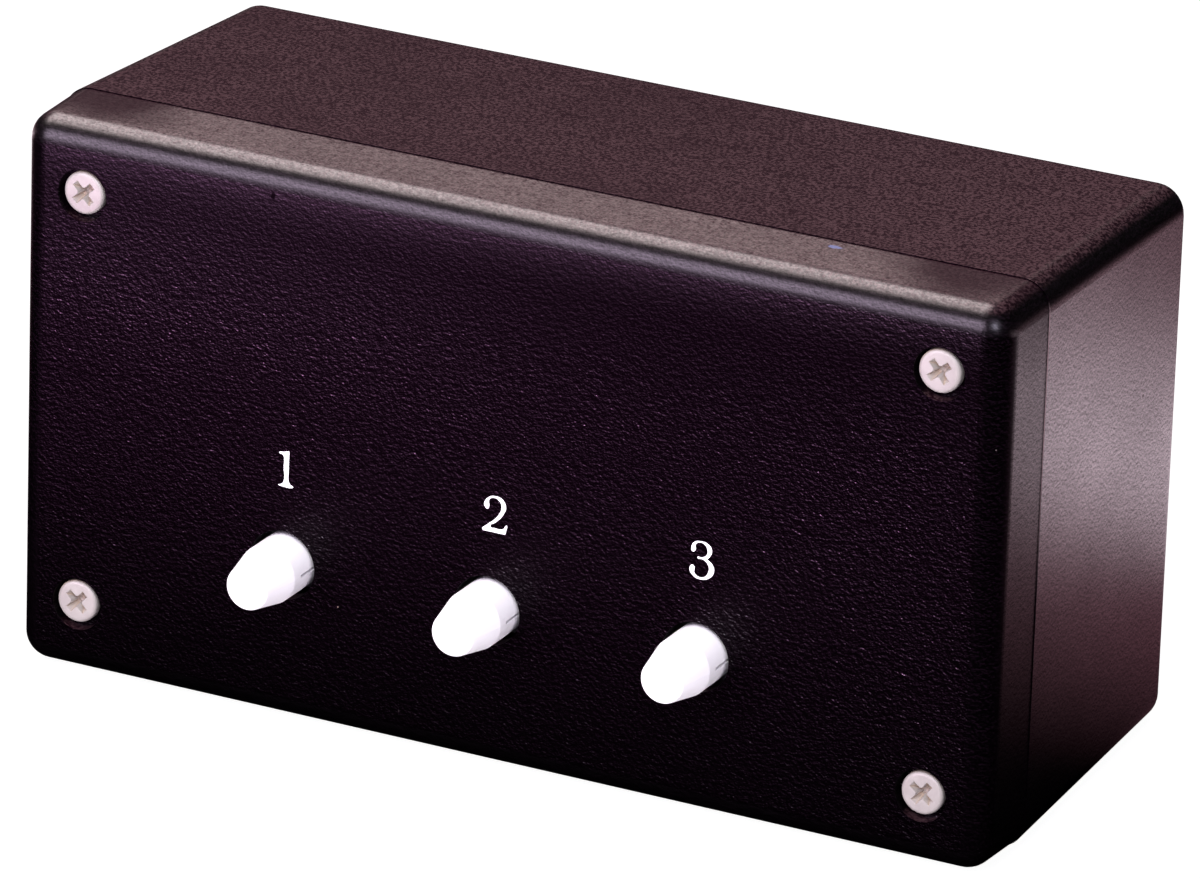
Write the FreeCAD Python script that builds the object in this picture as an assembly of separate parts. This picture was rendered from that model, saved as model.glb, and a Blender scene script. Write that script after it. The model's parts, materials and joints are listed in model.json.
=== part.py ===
import FreeCAD, Part
import math
import os

from FreeCAD import Vector

# A small desk box that selects one of three stereo line inputs with a bank of interlocked push buttons.
# Sizes are in millimetres and angles in degrees.
# The pieces are built in the box's own directions: X to the viewer's right, Y from the front into the box,
# Z up, with the lid's front face on y = 0. At the end everything leans back by the case's draft, so that the
# case stands flat on its underside, and the origin goes to the middle of that underside.

# Case and lid
case_width = 150.0
case_height = 82.0
lid_depth = 12.7
case_draft = 1.8
lid_draft = 1.5
wall = 2.5
seam_step = 0.15
face_radius = 3.8
corner_margin = 0.4
back_radius = 2.4
inner_corner_radius = 1.6
inner_radius = 1.0
lip_length = 2.4
lip_root = 4.0
lip_thickness = 1.2
lip_clearance = 0.2

# Lid screws and their bosses
screw_inset_x = 10.0
screw_inset_z = 10.7
screw_head_diameter = 6.2
screw_head_height = 1.5
screw_head_edge = 0.2
screw_head_setback = 0.3
screw_shank_diameter = 3.5
screw_core_diameter = 2.8
screw_length = 24.0
screw_clearance = 0.25
counterbore_gap = 0.7
boss_wall = 0.4
boss_gap = 0.2
rib_thickness = 1.6
rib_setback = 1.0
pilot_clearance = 0.05
pilot_spare = 1.5
drive_width = 3.3
drive_slot = 0.8
drive_depth = 0.9
drive_turn = 45.0

# Row of buttons
button_count = 3
button_pitch = 31.75
row_x = -1.0
button_travel = 3.5
button_reach = 10.3
button_straight = 4.2
button_inside = 3.0
button_diameter = 8.6
button_tip_diameter = 6.2
button_tip_round = 0.6
button_hole_gap = 0.75
slit_width = 0.45
slit_reach = 2.4
cap_socket_depth = 8.8
cap_socket_clearance = 0.05

# Plungers
stem_width = 4.0
collar_margin = 0.25
collar_thickness = 0.8
cam_rise = 0.9
cam_width = 2.4
cam_length = 2.15
cam_flat = 0.9
carriage_height = 6.8
carriage_edge = 0.1
running_gap = 0.2
end_gap = 0.3
tail_proud = 0.7

# Springs
return_spring_wire = 0.5
return_spring_turns = 6
return_spring_clearance = 0.11
latch_spring_wire = 0.3
latch_spring_turns = 7
latch_spring_length = 6.3
latch_spring_clearance = 0.24

# Switch frame
frame_y = 12.0
frame_sheet = 0.8
frame_depth = 10.0
frame_lower_depth = 3.0
ear_height = 8.0
ear_end = 3.2
lug_depth = 6.0
flange_gap = 0.1
frame_screw_setback = 3.2
frame_screw_head_diameter = 5.4
frame_screw_head_height = 1.6
frame_screw_diameter = 2.8
frame_screw_length = 8.0
frame_boss_wall = 2.1

# Latch bar
bar_thickness = 0.8
bar_height = 9.0
bar_end_margin = 5.9
bar_gap = 0.15
latch_travel = 0.9
tongue_length = 2.5
tongue_height = 1.4

# Switch housings and their contacts
housing_width = 12.0
housing_height = 14.0
housing_wall = 1.2
base_thickness = 1.5
poles_per_side = 2
contacts_per_pole = 3
terminal_pitch = 2.1
terminal_width = 1.6
terminal_sheet = 0.3
terminal_top = 1.6
pin_width = 0.7
pin_clearance = 0.05
pin_reach = 1.0
clip_sheet = 0.2
clip_height = 2.2
clip_end = 0.3
clip_lead = 0.3
clip_room = 1.5
clip_gap = 0.2

# Circuit boards, headers and ribbon cable
board_thickness = 1.6
board_gap = 0.2
board_edge = 0.4
board_hole_clearance = 0.1
switch_board_margin = 2.25
switch_board_front_gap = 0.7
jack_board_margin = 1.25
jack_board_room = 0.5
jack_board_floor_gap = 1.2
ribbon_ways = 16
ribbon_pitch = 1.27
ribbon_thickness = 0.9
ribbon_x = 14.0
ribbon_drop = 2.0
ribbon_forward = 17.0
ribbon_fold_radius = 1.4
ribbon_bend_radius = 1.2
header_height = 2.6
header_thickness = 2.4
header_margin = 0.6
header_setback = 1.5
header_pin_diameter = 0.6

# Sockets for 6.35 mm plugs
jack_pitch = 30.0
jack_column_count = 4
jack_row_count = 2
jack_width = 15.5
jack_depth = 23.2
jack_wall = 1.5
jack_front = 4.0
nose_diameter = 9.5
nose_setback = 0.4
nose_hole_clearance = 0.15
washer_thickness = 0.6
washer_margin = 0.5
nut_sides = 6
nut_height = 3.0
nut_wall = 1.75
nut_thread_clearance = 0.05
nut_bevel = 0.7
nut_face_margin = 0.4
plug_bore_diameter = 6.5
plug_hole_diameter = 8.0
spring_sheet = 0.4
spring_width = 3.0
spring_tail = 1.4
contact_preload = 0.35
contact_slope = 2.4
contact_tip = 1.8
contact_lift = 1.26
tip_contact_depth = 2.6
ring_contact_depth = 6.9
sleeve_contact_margin = 1.0

# How far a cutting shape runs past the face that it cuts, and how near two depths are to count as one
past = 1.0
near = 1e-6

# The row of buttons and what lies behind it, from the front backwards
button_xs = [row_x + button_pitch * (i - (button_count - 1) / 2) for i in range(button_count)]
row_half = button_pitch * (button_count - 1) / 2
stem_half = stem_width / 2
opening_half = stem_half + running_gap
cam_x = stem_half + cam_rise
inside_spring = max(math.hypot(stem_half, stem_half), math.hypot(cam_x, cam_width / 2))
return_spring_diameter = 2 * (inside_spring + return_spring_clearance) + return_spring_wire
collar_diameter = return_spring_diameter + return_spring_wire + 2 * collar_margin
plate_back = frame_y + frame_sheet
bar_y = plate_back + bar_gap
housing_y = bar_y + bar_thickness + bar_gap
cavity_y = housing_y + housing_wall
carriage_y = cavity_y + end_gap
pole_length = contacts_per_pole * terminal_pitch
clip_reach = terminal_pitch / 2 + clip_end
carriage_length = pole_length * (poles_per_side - 1) + 2 * (clip_reach + carriage_edge)
cavity_back = carriage_y + carriage_length + button_travel + running_gap
housing_back = cavity_back + housing_wall
header_y = housing_back + header_setback
jack_board_y = housing_back + tail_proud + button_travel + jack_board_room
jack_y = jack_board_y + board_thickness
back_inside = jack_y + jack_depth
case_back = back_inside + wall
washer_back = case_back + washer_thickness
nut_back = washer_back + nut_height
nose_end = nut_back - nose_setback

# Along the row
window_left = stem_half + latch_travel + bar_gap
window_right = cam_x + bar_gap
bar_half_length = row_half + window_right + bar_end_margin
lug_x = bar_half_length + latch_spring_length
frame_screw_x = lug_x + frame_sheet + frame_screw_setback
frame_end = frame_screw_x + ear_end
carriage_half = housing_width / 2 - housing_wall - terminal_sheet - clip_room
latch_spring_inside = math.hypot(tongue_height / 2, bar_thickness / 2) + latch_spring_clearance
latch_spring_diameter = 2 * latch_spring_inside + latch_spring_wire

# Case, screws and sockets
half_width = case_width / 2
half_height = case_height / 2
case_lean = math.tan(math.radians(case_draft))
lid_lean = math.tan(math.radians(lid_draft))
corner_radius = face_radius + corner_margin
sink = wall / 2
counterbore_diameter = screw_head_diameter + 2 * counterbore_gap
counterbore_depth = screw_head_height + screw_head_setback
boss_diameter = counterbore_diameter + 2 * boss_wall
screw_x = half_width - screw_inset_x
screw_z = half_height - screw_inset_z
screw_places = [(side_x * screw_x, side_z * screw_z) for side_x in (-1, 1) for side_z in (-1, 1)]
jack_columns = [jack_pitch * (i - (jack_column_count - 1) / 2) for i in range(jack_column_count)]
jack_rows = [jack_pitch * ((jack_row_count - 1) / 2 - i) for i in range(jack_row_count)]
jack_places = [(x, z) for x in jack_columns for z in jack_rows]
nut_across_flats = nose_diameter + 2 * nut_wall
washer_diameter = nut_across_flats + 2 * washer_margin
spring_leaf = jack_width / 2 - jack_wall - spring_sheet / 2
sleeve_contact_depth = jack_depth - jack_front - contact_tip - sleeve_contact_margin
jack_springs = [
    ((0, 1), tip_contact_depth),
    ((0, -1), ring_contact_depth),
    ((1, 0), sleeve_contact_depth),
]

# From the case's floor up to the row of buttons
floor_z = wall - half_height + (jack_y - lid_depth) * case_lean
jack_board_bottom = floor_z + jack_board_floor_gap
ribbon_lower = jack_board_bottom + board_edge + header_thickness / 2
ribbon_upper = ribbon_lower + 2 * ribbon_fold_radius
switch_header_under = ribbon_upper + ribbon_bend_radius + ribbon_drop
board_under = switch_header_under + header_height
board_top = board_under + board_thickness
housing_under = board_top + board_gap
row_z = housing_under + housing_height / 2
housing_top = housing_under + housing_height
base_top = housing_under + base_thickness
ribbon_width = ribbon_ways * ribbon_pitch
header_half = ribbon_width / 2 + header_margin
frame_screw_places = [(row_x + side * frame_screw_x, row_z) for side in (-1, 1)]


def box(x0, x1, y0, y1, z0, z1):
    """A block between two corners."""
    return Part.makeBox(x1 - x0, y1 - y0, z1 - z0, Vector(x0, y0, z0))


def bar(x, z, half_x, half_z, y0, y1):
    """A block along Y, centred on the line at (x, z)."""
    return box(x - half_x, x + half_x, y0, y1, z - half_z, z + half_z)


def rod(x, z, y0, y1, diameter):
    """A round bar along Y."""
    return Part.makeCylinder(diameter / 2, y1 - y0, Vector(x, y0, z), Vector(0, 1, 0))


def post(x, y, z0, z1, diameter):
    """A round bar along Z."""
    return Part.makeCylinder(diameter / 2, z1 - z0, Vector(x, y, z0))


def filled(corners):
    """The flat face inside a closed run of corners."""
    return Part.Face(Part.makePolygon(corners + corners[:1]))


def turned(x, z, profile):
    """A piece turned about the Y axis at (x, z), from (y, radius) points that start and end on the axis."""
    face = filled([Vector(x + radius, y, z) for y, radius in profile])
    return face.revolve(Vector(x, 0, z), Vector(0, 1, 0), 360)


def joined(solids):
    """One solid from overlapping or touching ones."""
    first, *rest = solids
    return first.fuse(rest).removeSplitter()


def cut(solid, tools):
    """A solid with every tool taken out of it."""
    return solid.cut(Part.makeCompound(tools))


def tapered_block(y0, y1, front, back):
    """A block along Y, with its half width and half height given at the front and at the back."""
    (front_x, front_z), (back_x, back_z) = front, back
    return Part.makeWedge(-front_x, y0, -front_z, -back_z, -back_x, front_x, y1, front_z, back_z, back_x)


def long_edges(solid):
    """The edges that run along the depth."""
    found = []
    for edge in solid.Edges:
        start, end = edge.Vertexes[0].Point, edge.Vertexes[-1].Point
        if abs(end.y - start.y) > max(abs(end.x - start.x), abs(end.z - start.z)):
            found.append(edge)
    return found


def edges_at(solid, y):
    """The edges that lie in the plane at this depth."""
    return [e for e in solid.Edges if abs(e.BoundBox.YMin - y) < near and abs(e.BoundBox.YMax - y) < near]


def rounded_block(y0, y1, half, long_radius, end_y, end_radius):
    """A tapered block with its four long edges rounded, and the edges round one end.

    half gives the half width and half height at a depth.
    """
    block = tapered_block(y0, y1, half(y0), half(y1))
    block = block.makeFillet(long_radius, long_edges(block))
    return block.makeFillet(end_radius, edges_at(block, end_y))


def smaller(half, by):
    """A half width and half height, both less by the same amount."""
    return half[0] - by, half[1] - by


def lid_half(y):
    """The lid's outer half width and half height at a depth."""
    return smaller((half_width, half_height), seam_step + (lid_depth - y) * lid_lean)


def lid_half_inside(y):
    """The lid's inner half width and half height at a depth."""
    return smaller(lid_half(y), wall)


def case_half(y):
    """The case's outer half width and half height at a depth."""
    return smaller((half_width, half_height), (y - lid_depth) * case_lean)


def case_half_inside(y):
    """The case's inner half width and half height at a depth."""
    return smaller(case_half(y), wall)


def strip(points, sheet, width, across):
    """A bent sheet strip: a line of points in a plane, thickened by the sheet and as wide as given.

    The points are vectors in a plane square to the vector across, and width is measured along it.
    """
    sides = []
    for sign in (1, -1):
        side = []
        for i, point in enumerate(points):
            before = (point - points[i - 1]).normalize() if i else None
            after = (points[i + 1] - point).normalize() if i + 1 < len(points) else None
            along = (before or after) + (after or before)
            normal = across.cross(along).normalize()
            stretch = 1 / normal.dot(across.cross(after or before))
            side.append(point + normal * (sign * stretch * sheet / 2) - across * (width / 2))
        sides.append(side)
    return filled(sides[0] + sides[1][::-1]).extrude(across * width)


def biarc(start, start_way, end, end_way):
    """Two arcs that leave start and reach end in the given directions."""
    chord = end - start
    ways = start_way + end_way
    bend = 2 * (1 - start_way.dot(end_way))
    reach = (math.sqrt(chord.dot(ways) ** 2 + bend * chord.dot(chord)) - chord.dot(ways)) / bend
    corner_in = start + start_way * reach
    corner_out = end - end_way * reach
    middle = (corner_in + corner_out) / 2
    return [arc(start, corner_in, middle), arc(middle, corner_out, end)]


def arc(start, corner, end):
    """The arc from start to end whose end tangents meet at corner."""
    half_chord = (end - start).Length / 2
    foot = (start + end) / 2
    rise = (corner - foot).Length
    tangent = (corner - start).Length
    sagitta = half_chord * tangent / rise * (1 - half_chord / tangent)
    top = foot + (corner - foot) * (sagitta / rise)
    return Part.Arc(start, top, end).toShape()


def coil(length, diameter, wire, turns):
    """A coil spring about the Z axis from z = 0, whose wire stays inside its length."""
    pitch = (length - wire) / turns
    radius = diameter / 2
    slope = pitch / (2 * math.pi * radius)
    places = []
    for quarter in range(4 * turns + 1):
        angle = quarter * math.pi / 2
        place = Vector(radius * math.cos(angle), radius * math.sin(angle), wire / 2 + pitch * quarter / 4)
        way = Vector(-math.sin(angle), math.cos(angle), slope).normalize()
        places.append((place, way))
    arcs = []
    for (start, start_way), (end, end_way) in zip(places, places[1:]):
        arcs += biarc(start, start_way, end, end_way)
    section = Part.Wire(Part.makeCircle(wire / 2, *places[0]))
    return Part.Wire(arcs).makePipeShell([section], True, False)


def least_gap(length, diameter, wire, turns):
    """The least clear gap between one turn of a coil's wire and the next, measured on points."""
    pitch = (length - wire) / turns
    radius = diameter / 2
    start = Vector(radius, 0, 0)
    distances = []
    for degree in range(180, 540):
        angle = math.radians(degree)
        point = Vector(radius * math.cos(angle), radius * math.sin(angle), pitch * degree / 360)
        distances.append((point - start).Length)
    return min(distances) - wire


def drive_recess(x, z, y):
    """The cross recess of a screw head whose face is at y."""
    level = bar(x, z, drive_width / 2, drive_slot / 2, y, y + drive_depth)
    upright = bar(x, z, drive_slot / 2, drive_width / 2, y, y + drive_depth)
    cross = joined([level, upright])
    cross.rotate(Vector(x, y, z), Vector(0, 1, 0), drive_turn)
    return cross


def screw(x, z, face, head_diameter, head_height, shank_end, shank_diameter, core_end, core_diameter):
    """A screw along +Y with its head's face at the first depth, a full shank and then a thread core."""
    head = head_diameter / 2
    profile = [
        (face, 0),
        (face, head - screw_head_edge),
        (face + screw_head_edge, head),
        (face + head_height, head),
        (face + head_height, shank_diameter / 2),
        (shank_end, shank_diameter / 2),
        (shank_end, core_diameter / 2),
        (core_end - core_diameter / 2, core_diameter / 2),
        (core_end, 0),
    ]
    return turned(x, z, profile).cut(drive_recess(x, z, face))


def boss_ribs(x, z, y0, y1, reach):
    """Two ribs that tie a corner boss to the walls beside it, which they enter as far as reach."""
    end_x = math.copysign(reach[0], x)
    end_z = math.copysign(reach[1], z)
    half = rib_thickness / 2
    level = box(min(x, end_x), max(x, end_x), y0, y1, z - half, z + half)
    upright = box(x - half, x + half, y0, y1, min(z, end_z), max(z, end_z))
    return [level, upright]


def front_lid():
    """The lid: a shallow tray with the button holes, screw bosses and a lip that enters the case."""
    outside = rounded_block(0, lid_depth, lid_half, corner_radius - seam_step, 0, face_radius)
    hollow = rounded_block(wall, lid_depth + past, lid_half_inside, inner_corner_radius, wall, inner_radius)
    outer = smaller(case_half_inside(lid_depth), lip_clearance)
    inner = smaller(outer, lip_thickness)
    lip_start, lip_end = lid_depth - lip_root, lid_depth + lip_length
    ring = tapered_block(lip_start, lip_end, outer, outer)
    ring = ring.makeFillet(inner_corner_radius, long_edges(ring))
    ring = ring.cut(tapered_block(lip_start - past, lip_end + past, inner, inner))
    boss_end = lid_depth - boss_gap
    holes = []
    solids = [outside.cut(hollow), ring]
    for x, z in screw_places:
        solids.append(rod(x, z, sink, boss_end, boss_diameter))
        solids += boss_ribs(x, z, sink, boss_end - rib_setback, smaller(lid_half(0), sink))
        holes.append(rod(x, z, -past, lid_depth, screw_shank_diameter + 2 * screw_clearance))
        holes.append(rod(x, z, -past, counterbore_depth, counterbore_diameter))
        holes.append(rod(x, z, boss_end, lip_end + past, boss_diameter + 2 * boss_gap))
    for x, z in frame_screw_places:
        solids.append(rod(x, z, sink, frame_y, frame_screw_diameter + 2 * frame_boss_wall))
        pilot_end = plate_back - frame_screw_length - pilot_spare
        holes.append(rod(x, z, pilot_end, frame_y + past, frame_screw_diameter + 2 * pilot_clearance))
    for x in button_xs:
        holes.append(rod(x, row_z, -past, wall + past, button_diameter + 2 * button_hole_gap))
    return cut(joined(solids), holes)


def rear_case():
    """The case: sides and back in one moulding, with four full-length bosses and the socket holes."""
    outside = rounded_block(lid_depth, case_back, case_half, corner_radius, case_back, back_radius)
    hollow = rounded_block(
        lid_depth - past, back_inside, case_half_inside, inner_corner_radius, back_inside, inner_radius
    )
    rib_start = lid_depth + lip_length + rib_setback
    rib_reach = smaller(case_half((lid_depth + case_back) / 2), sink)
    pilot_end = counterbore_depth + screw_length + pilot_spare
    solids = [outside.cut(hollow)]
    holes = []
    for x, z in screw_places:
        solids.append(rod(x, z, lid_depth, back_inside + sink, boss_diameter))
        solids += boss_ribs(x, z, rib_start, back_inside + sink, rib_reach)
        holes.append(rod(x, z, lid_depth - past, pilot_end, screw_core_diameter + 2 * pilot_clearance))
    for x, z in jack_places:
        holes.append(
            rod(x, z, back_inside - past, case_back + past, nose_diameter + 2 * nose_hole_clearance)
        )
    return cut(joined(solids), holes)


def lid_screws():
    """Four self-tapping screws that hold the lid on the case."""
    solids = []
    for x, z in screw_places:
        solids.append(
            screw(
                x,
                z,
                screw_head_setback,
                screw_head_diameter,
                screw_head_height,
                lid_depth - boss_gap,
                screw_shank_diameter,
                counterbore_depth + screw_length,
                screw_core_diameter,
            )
        )
    return Part.makeCompound(solids)


def frame_screws():
    """Two screws that hold the switch frame on the lid's inside, driven from behind."""
    seat = -plate_back
    solids = []
    for x, z in frame_screw_places:
        piece = screw(
            0,
            0,
            seat - frame_screw_head_height,
            frame_screw_head_diameter,
            frame_screw_head_height,
            seat + frame_sheet,
            frame_screw_diameter,
            seat + frame_screw_length,
            frame_screw_diameter,
        )
        piece.rotate(Vector(0, 0, 0), Vector(0, 0, 1), 180)
        piece.translate(Vector(x, 0, z))
        solids.append(piece)
    return Part.makeCompound(solids)


def button(x):
    """A push-on cap: a short straight skirt, a long taper and a flat tip, slit on both sides at the skirt."""
    skirt = button_diameter / 2
    profile = [
        (button_inside, 0),
        (button_inside, skirt),
        (-button_straight, skirt),
        (-button_reach, button_tip_diameter / 2),
        (-button_reach, 0),
    ]
    cap = turned(x, row_z, profile)
    cap = cap.makeFillet(button_tip_round, edges_at(cap, -button_reach))
    half = stem_half + cap_socket_clearance
    socket = bar(x, row_z, half, half, button_inside - cap_socket_depth, button_inside + past)
    slit = bar(x, row_z, skirt + past, slit_width / 2, -slit_reach, button_inside + past)
    return cut(cap, [socket, slit])


def plunger(x):
    """The square bar behind a cap, with its collar, latch cam and the carriage for the contact clips."""
    front = button_inside - cap_socket_depth + cap_socket_clearance
    stem = bar(x, row_z, stem_half, stem_half, front, housing_back + tail_proud)
    collar = rod(x, row_z, button_inside, button_inside + collar_thickness, collar_diameter)
    carriage = bar(
        x, row_z, carriage_half, carriage_height / 2, carriage_y, carriage_y + carriage_length
    )
    cam_start = plate_back - cam_length
    z = row_z - cam_width / 2
    corners = [
        Vector(x, cam_start, z),
        Vector(x + cam_x, cam_start, z),
        Vector(x + cam_x, cam_start + cam_flat, z),
        Vector(x + stem_half, plate_back, z),
        Vector(x, plate_back, z),
    ]
    cam = filled(corners).extrude(Vector(0, 0, cam_width))
    return joined([stem, collar, carriage, cam])


def return_spring(x):
    """The coil spring between a plunger's collar and the frame."""
    start = button_inside + collar_thickness
    spring = coil(frame_y - start, return_spring_diameter, return_spring_wire, return_spring_turns)
    spring.rotate(Vector(0, 0, 0), Vector(1, 0, 0), -90)
    spring.translate(Vector(x, start, row_z))
    return spring


def plunger_opening(x, y0, y1):
    """The hole that a stem and its cam pass through."""
    return box(x - opening_half, x + cam_x + running_gap, y0, y1, row_z - opening_half, row_z + opening_half)


def latch_spring():
    """The coil spring that pushes the latch bar back along the frame."""
    spring = coil(latch_spring_length, latch_spring_diameter, latch_spring_wire, latch_spring_turns)
    spring.rotate(Vector(0, 0, 0), Vector(0, 1, 0), 90)
    spring.translate(Vector(row_x + bar_half_length, bar_y + bar_thickness / 2, row_z))
    return spring


def latch_bar():
    """The flat bar behind the frame's plate, with a window for each plunger and a tongue for its spring."""
    back = bar_y + bar_thickness
    end = row_x + bar_half_length
    plate = bar(row_x, row_z, bar_half_length, bar_height / 2, bar_y, back)
    tongue = box(end, end + tongue_length, bar_y, back, row_z - tongue_height / 2, row_z + tongue_height / 2)
    low, high = row_z - opening_half, row_z + opening_half
    windows = []
    for x in button_xs:
        windows.append(box(x - window_left, x + window_right, bar_y - past, back + past, low, high))
    return cut(joined([plate, tongue]), windows)


def switch_frame():
    """The folded steel channel that carries the housings, with an ear at each end and the spring's lug."""
    top = housing_top + flange_gap
    bottom = housing_under - flange_gap
    left, right = row_x - lug_x - frame_sheet, row_x + lug_x + frame_sheet
    ear = ear_height / 2
    plate = box(left, right, frame_y, plate_back, bottom - frame_sheet, top + frame_sheet)
    ears = bar(row_x, row_z, frame_end, ear, frame_y, plate_back)
    upper = box(left, right, frame_y, frame_y + frame_depth, top, top + frame_sheet)
    lower = box(left, right, frame_y, frame_y + frame_lower_depth, bottom - frame_sheet, bottom)
    lug = box(right - frame_sheet, right, frame_y, frame_y + lug_depth, row_z - ear, row_z + ear)
    cut_start, cut_end = frame_y - past, plate_back + past
    holes = [plunger_opening(x, cut_start, cut_end) for x in button_xs]
    for x, z in frame_screw_places:
        holes.append(rod(x, z, cut_start, cut_end, frame_screw_diameter + 2 * pilot_clearance))
    spring_half = latch_spring_diameter / 2 + latch_spring_wire
    spring_start = row_x + bar_half_length - bar_gap
    holes.append(
        box(spring_start, row_x + lug_x, cut_start, cut_end, row_z - spring_half, row_z + spring_half)
    )
    return cut(joined([plate, ears, upper, lower, lug]), holes)


def terminal_ys():
    """The depths of a side's terminals, of which the clips bridge the first two of each pole at rest."""
    over_travel = (button_travel - terminal_pitch) / 2
    first = carriage_y + carriage_edge + clip_reach + over_travel - terminal_pitch / 2
    return [first + terminal_pitch * i for i in range(poles_per_side * contacts_per_pole)]


def terminal_places(x):
    """The middles of both rows of terminals of one switch, whose sheets lie on the housing's inner walls."""
    reach = housing_width / 2 - housing_wall - terminal_sheet / 2
    return [(x + side * reach, y) for side in (-1, 1) for y in terminal_ys()]


def terminals(x):
    """The fixed contacts: each a blade on the housing's inner wall and a pin through base and board."""
    sheet = terminal_sheet / 2
    blade_half = terminal_width / 2
    pin_half = pin_width / 2
    pin_end = board_under - pin_reach
    solids = []
    for middle, y in terminal_places(x):
        left, right = middle - sheet, middle + sheet
        blade = box(left, right, y - blade_half, y + blade_half, base_top, row_z + terminal_top)
        pin = box(left, right, y - pin_half, y + pin_half, pin_end, base_top)
        solids.append(joined([blade, pin]))
    return Part.makeCompound(solids)


def switch_housing(x):
    """The moulded body of one switch, open below, where its base closes it."""
    half = housing_width / 2
    inside = half - housing_wall
    outside = box(x - half, x + half, housing_y, housing_back, base_top, housing_top)
    hollow = box(x - inside, x + inside, cavity_y, cavity_back, base_top - past, housing_top - housing_wall)
    front = plunger_opening(x, housing_y - past, cavity_y + past)
    back = bar(x, row_z, opening_half, opening_half, cavity_back - past, housing_back + past)
    return cut(outside, [hollow, front, back])


def switch_base(x):
    """The plate that closes a housing from below and holds its terminals."""
    half = housing_width / 2
    plate = box(x - half, x + half, housing_y, housing_back, housing_under, base_top)
    slot_x = terminal_sheet / 2 + pin_clearance
    slot_y = pin_width / 2 + pin_clearance
    low, high = housing_under - past, base_top + past
    slots = []
    for middle, y in terminal_places(x):
        slots.append(box(middle - slot_x, middle + slot_x, y - slot_y, y + slot_y, low, high))
    return cut(plate, slots)


def moving_contacts(x):
    """The clips on a plunger's carriage, each of which bridges two neighbouring terminals."""
    foot_x = carriage_half + clip_sheet / 2
    bump_x = housing_width / 2 - housing_wall - terminal_sheet - clip_gap - clip_sheet / 2
    bump_y = terminal_pitch / 2
    shape = [
        (bump_x - clip_lead, -clip_reach),
        (bump_x, -bump_y),
        (foot_x, -bump_y / 2),
        (foot_x, bump_y / 2),
        (bump_x, bump_y),
        (bump_x - clip_lead, clip_reach),
    ]
    first = carriage_y + carriage_edge + clip_reach
    solids = []
    for side in (-1, 1):
        for pole in range(poles_per_side):
            middle = first + pole * pole_length
            points = [Vector(x + side * out, middle + along, row_z) for out, along in shape]
            solids.append(strip(points, clip_sheet, clip_height, Vector(0, 0, 1)))
    return Part.makeCompound(solids)


def header_pin_xs():
    """The places of a header's pins across the ribbon cable."""
    return [ribbon_x + ribbon_pitch * (i - (ribbon_ways - 1) / 2) for i in range(ribbon_ways)]


def switch_board():
    """The circuit board under the switch housings, which hangs on their pins."""
    half = row_half + housing_width / 2 + switch_board_margin
    front = frame_y + frame_lower_depth + switch_board_front_gap
    back = header_y + header_thickness / 2 + board_edge
    board = box(row_x - half, row_x + half, front, back, board_under, board_top)
    low, high = board_under - past, board_top + past
    holes = []
    for x in button_xs:
        for middle, y in terminal_places(x):
            holes.append(post(middle, y, low, high, pin_width + 2 * board_hole_clearance))
    for x in header_pin_xs():
        holes.append(post(x, header_y, low, high, header_pin_diameter + 2 * board_hole_clearance))
    return cut(board, holes)


def switch_header():
    """The strip that joins the ribbon cable to the underside of the switch board."""
    half = header_thickness / 2
    return box(
        ribbon_x - header_half, ribbon_x + header_half, header_y - half, header_y + half,
        switch_header_under, board_under
    )


def jack_header():
    """The strip that joins the ribbon cable to the front of the socket board."""
    return bar(
        ribbon_x, ribbon_lower, header_half, header_thickness / 2, jack_board_y - header_height, jack_board_y
    )


def header_pins():
    """The pins that carry each way of the ribbon cable from the headers through both boards."""
    solids = []
    for x in header_pin_xs():
        solids.append(post(x, header_y, board_under, board_top + pin_reach, header_pin_diameter))
        solids.append(rod(x, ribbon_lower, jack_board_y, jack_y + pin_reach, header_pin_diameter))
    return Part.makeCompound(solids)


def ribbon_cable():
    """The flat cable: down from one header, forward, folded back on itself and on to the other header."""
    x = ribbon_x - ribbon_width / 2
    bend = ribbon_bend_radius
    fold = ribbon_fold_radius
    fold_y = header_y - ribbon_forward
    short = bend * (1 - math.sqrt(0.5))
    start = Vector(x, header_y, switch_header_under)
    bend_start = Vector(x, header_y, ribbon_upper + bend)
    bend_end = Vector(x, header_y - bend, ribbon_upper)
    fold_start = Vector(x, fold_y, ribbon_upper)
    fold_end = Vector(x, fold_y, ribbon_lower)
    end = Vector(x, jack_board_y - header_height, ribbon_lower)
    path = [
        Part.LineSegment(start, bend_start).toShape(),
        Part.Arc(bend_start, Vector(x, header_y - short, ribbon_upper + short), bend_end).toShape(),
        Part.LineSegment(bend_end, fold_start).toShape(),
        Part.Arc(fold_start, Vector(x, fold_y - fold, ribbon_upper - fold), fold_end).toShape(),
        Part.LineSegment(fold_end, end).toShape(),
    ]
    thick = Vector(0, ribbon_thickness / 2, 0)
    wide = Vector(ribbon_width, 0, 0)
    section = filled([start - thick, start + thick, start + wide + thick, start + wide - thick]).OuterWire
    return Part.Wire(path).makePipeShell([section], True, False)


def jack_contacts(x, z):
    """The tip, ring and sleeve springs of one socket, with their tails through the board."""
    height = plug_bore_diameter / 2 - contact_preload
    solids = []
    for (side_x, side_z), depth in jack_springs:
        contact = jack_y + depth
        shape = [
            (jack_board_y - spring_tail, spring_leaf),
            (contact - contact_slope, spring_leaf),
            (contact, height),
            (contact + contact_tip, height + contact_lift),
        ]
        points = [Vector(x + side_x * out, y, z + side_z * out) for y, out in shape]
        solids.append(strip(points, spring_sheet, spring_width, Vector(side_z, 0, side_x)))
    return Part.makeCompound(solids)


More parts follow.
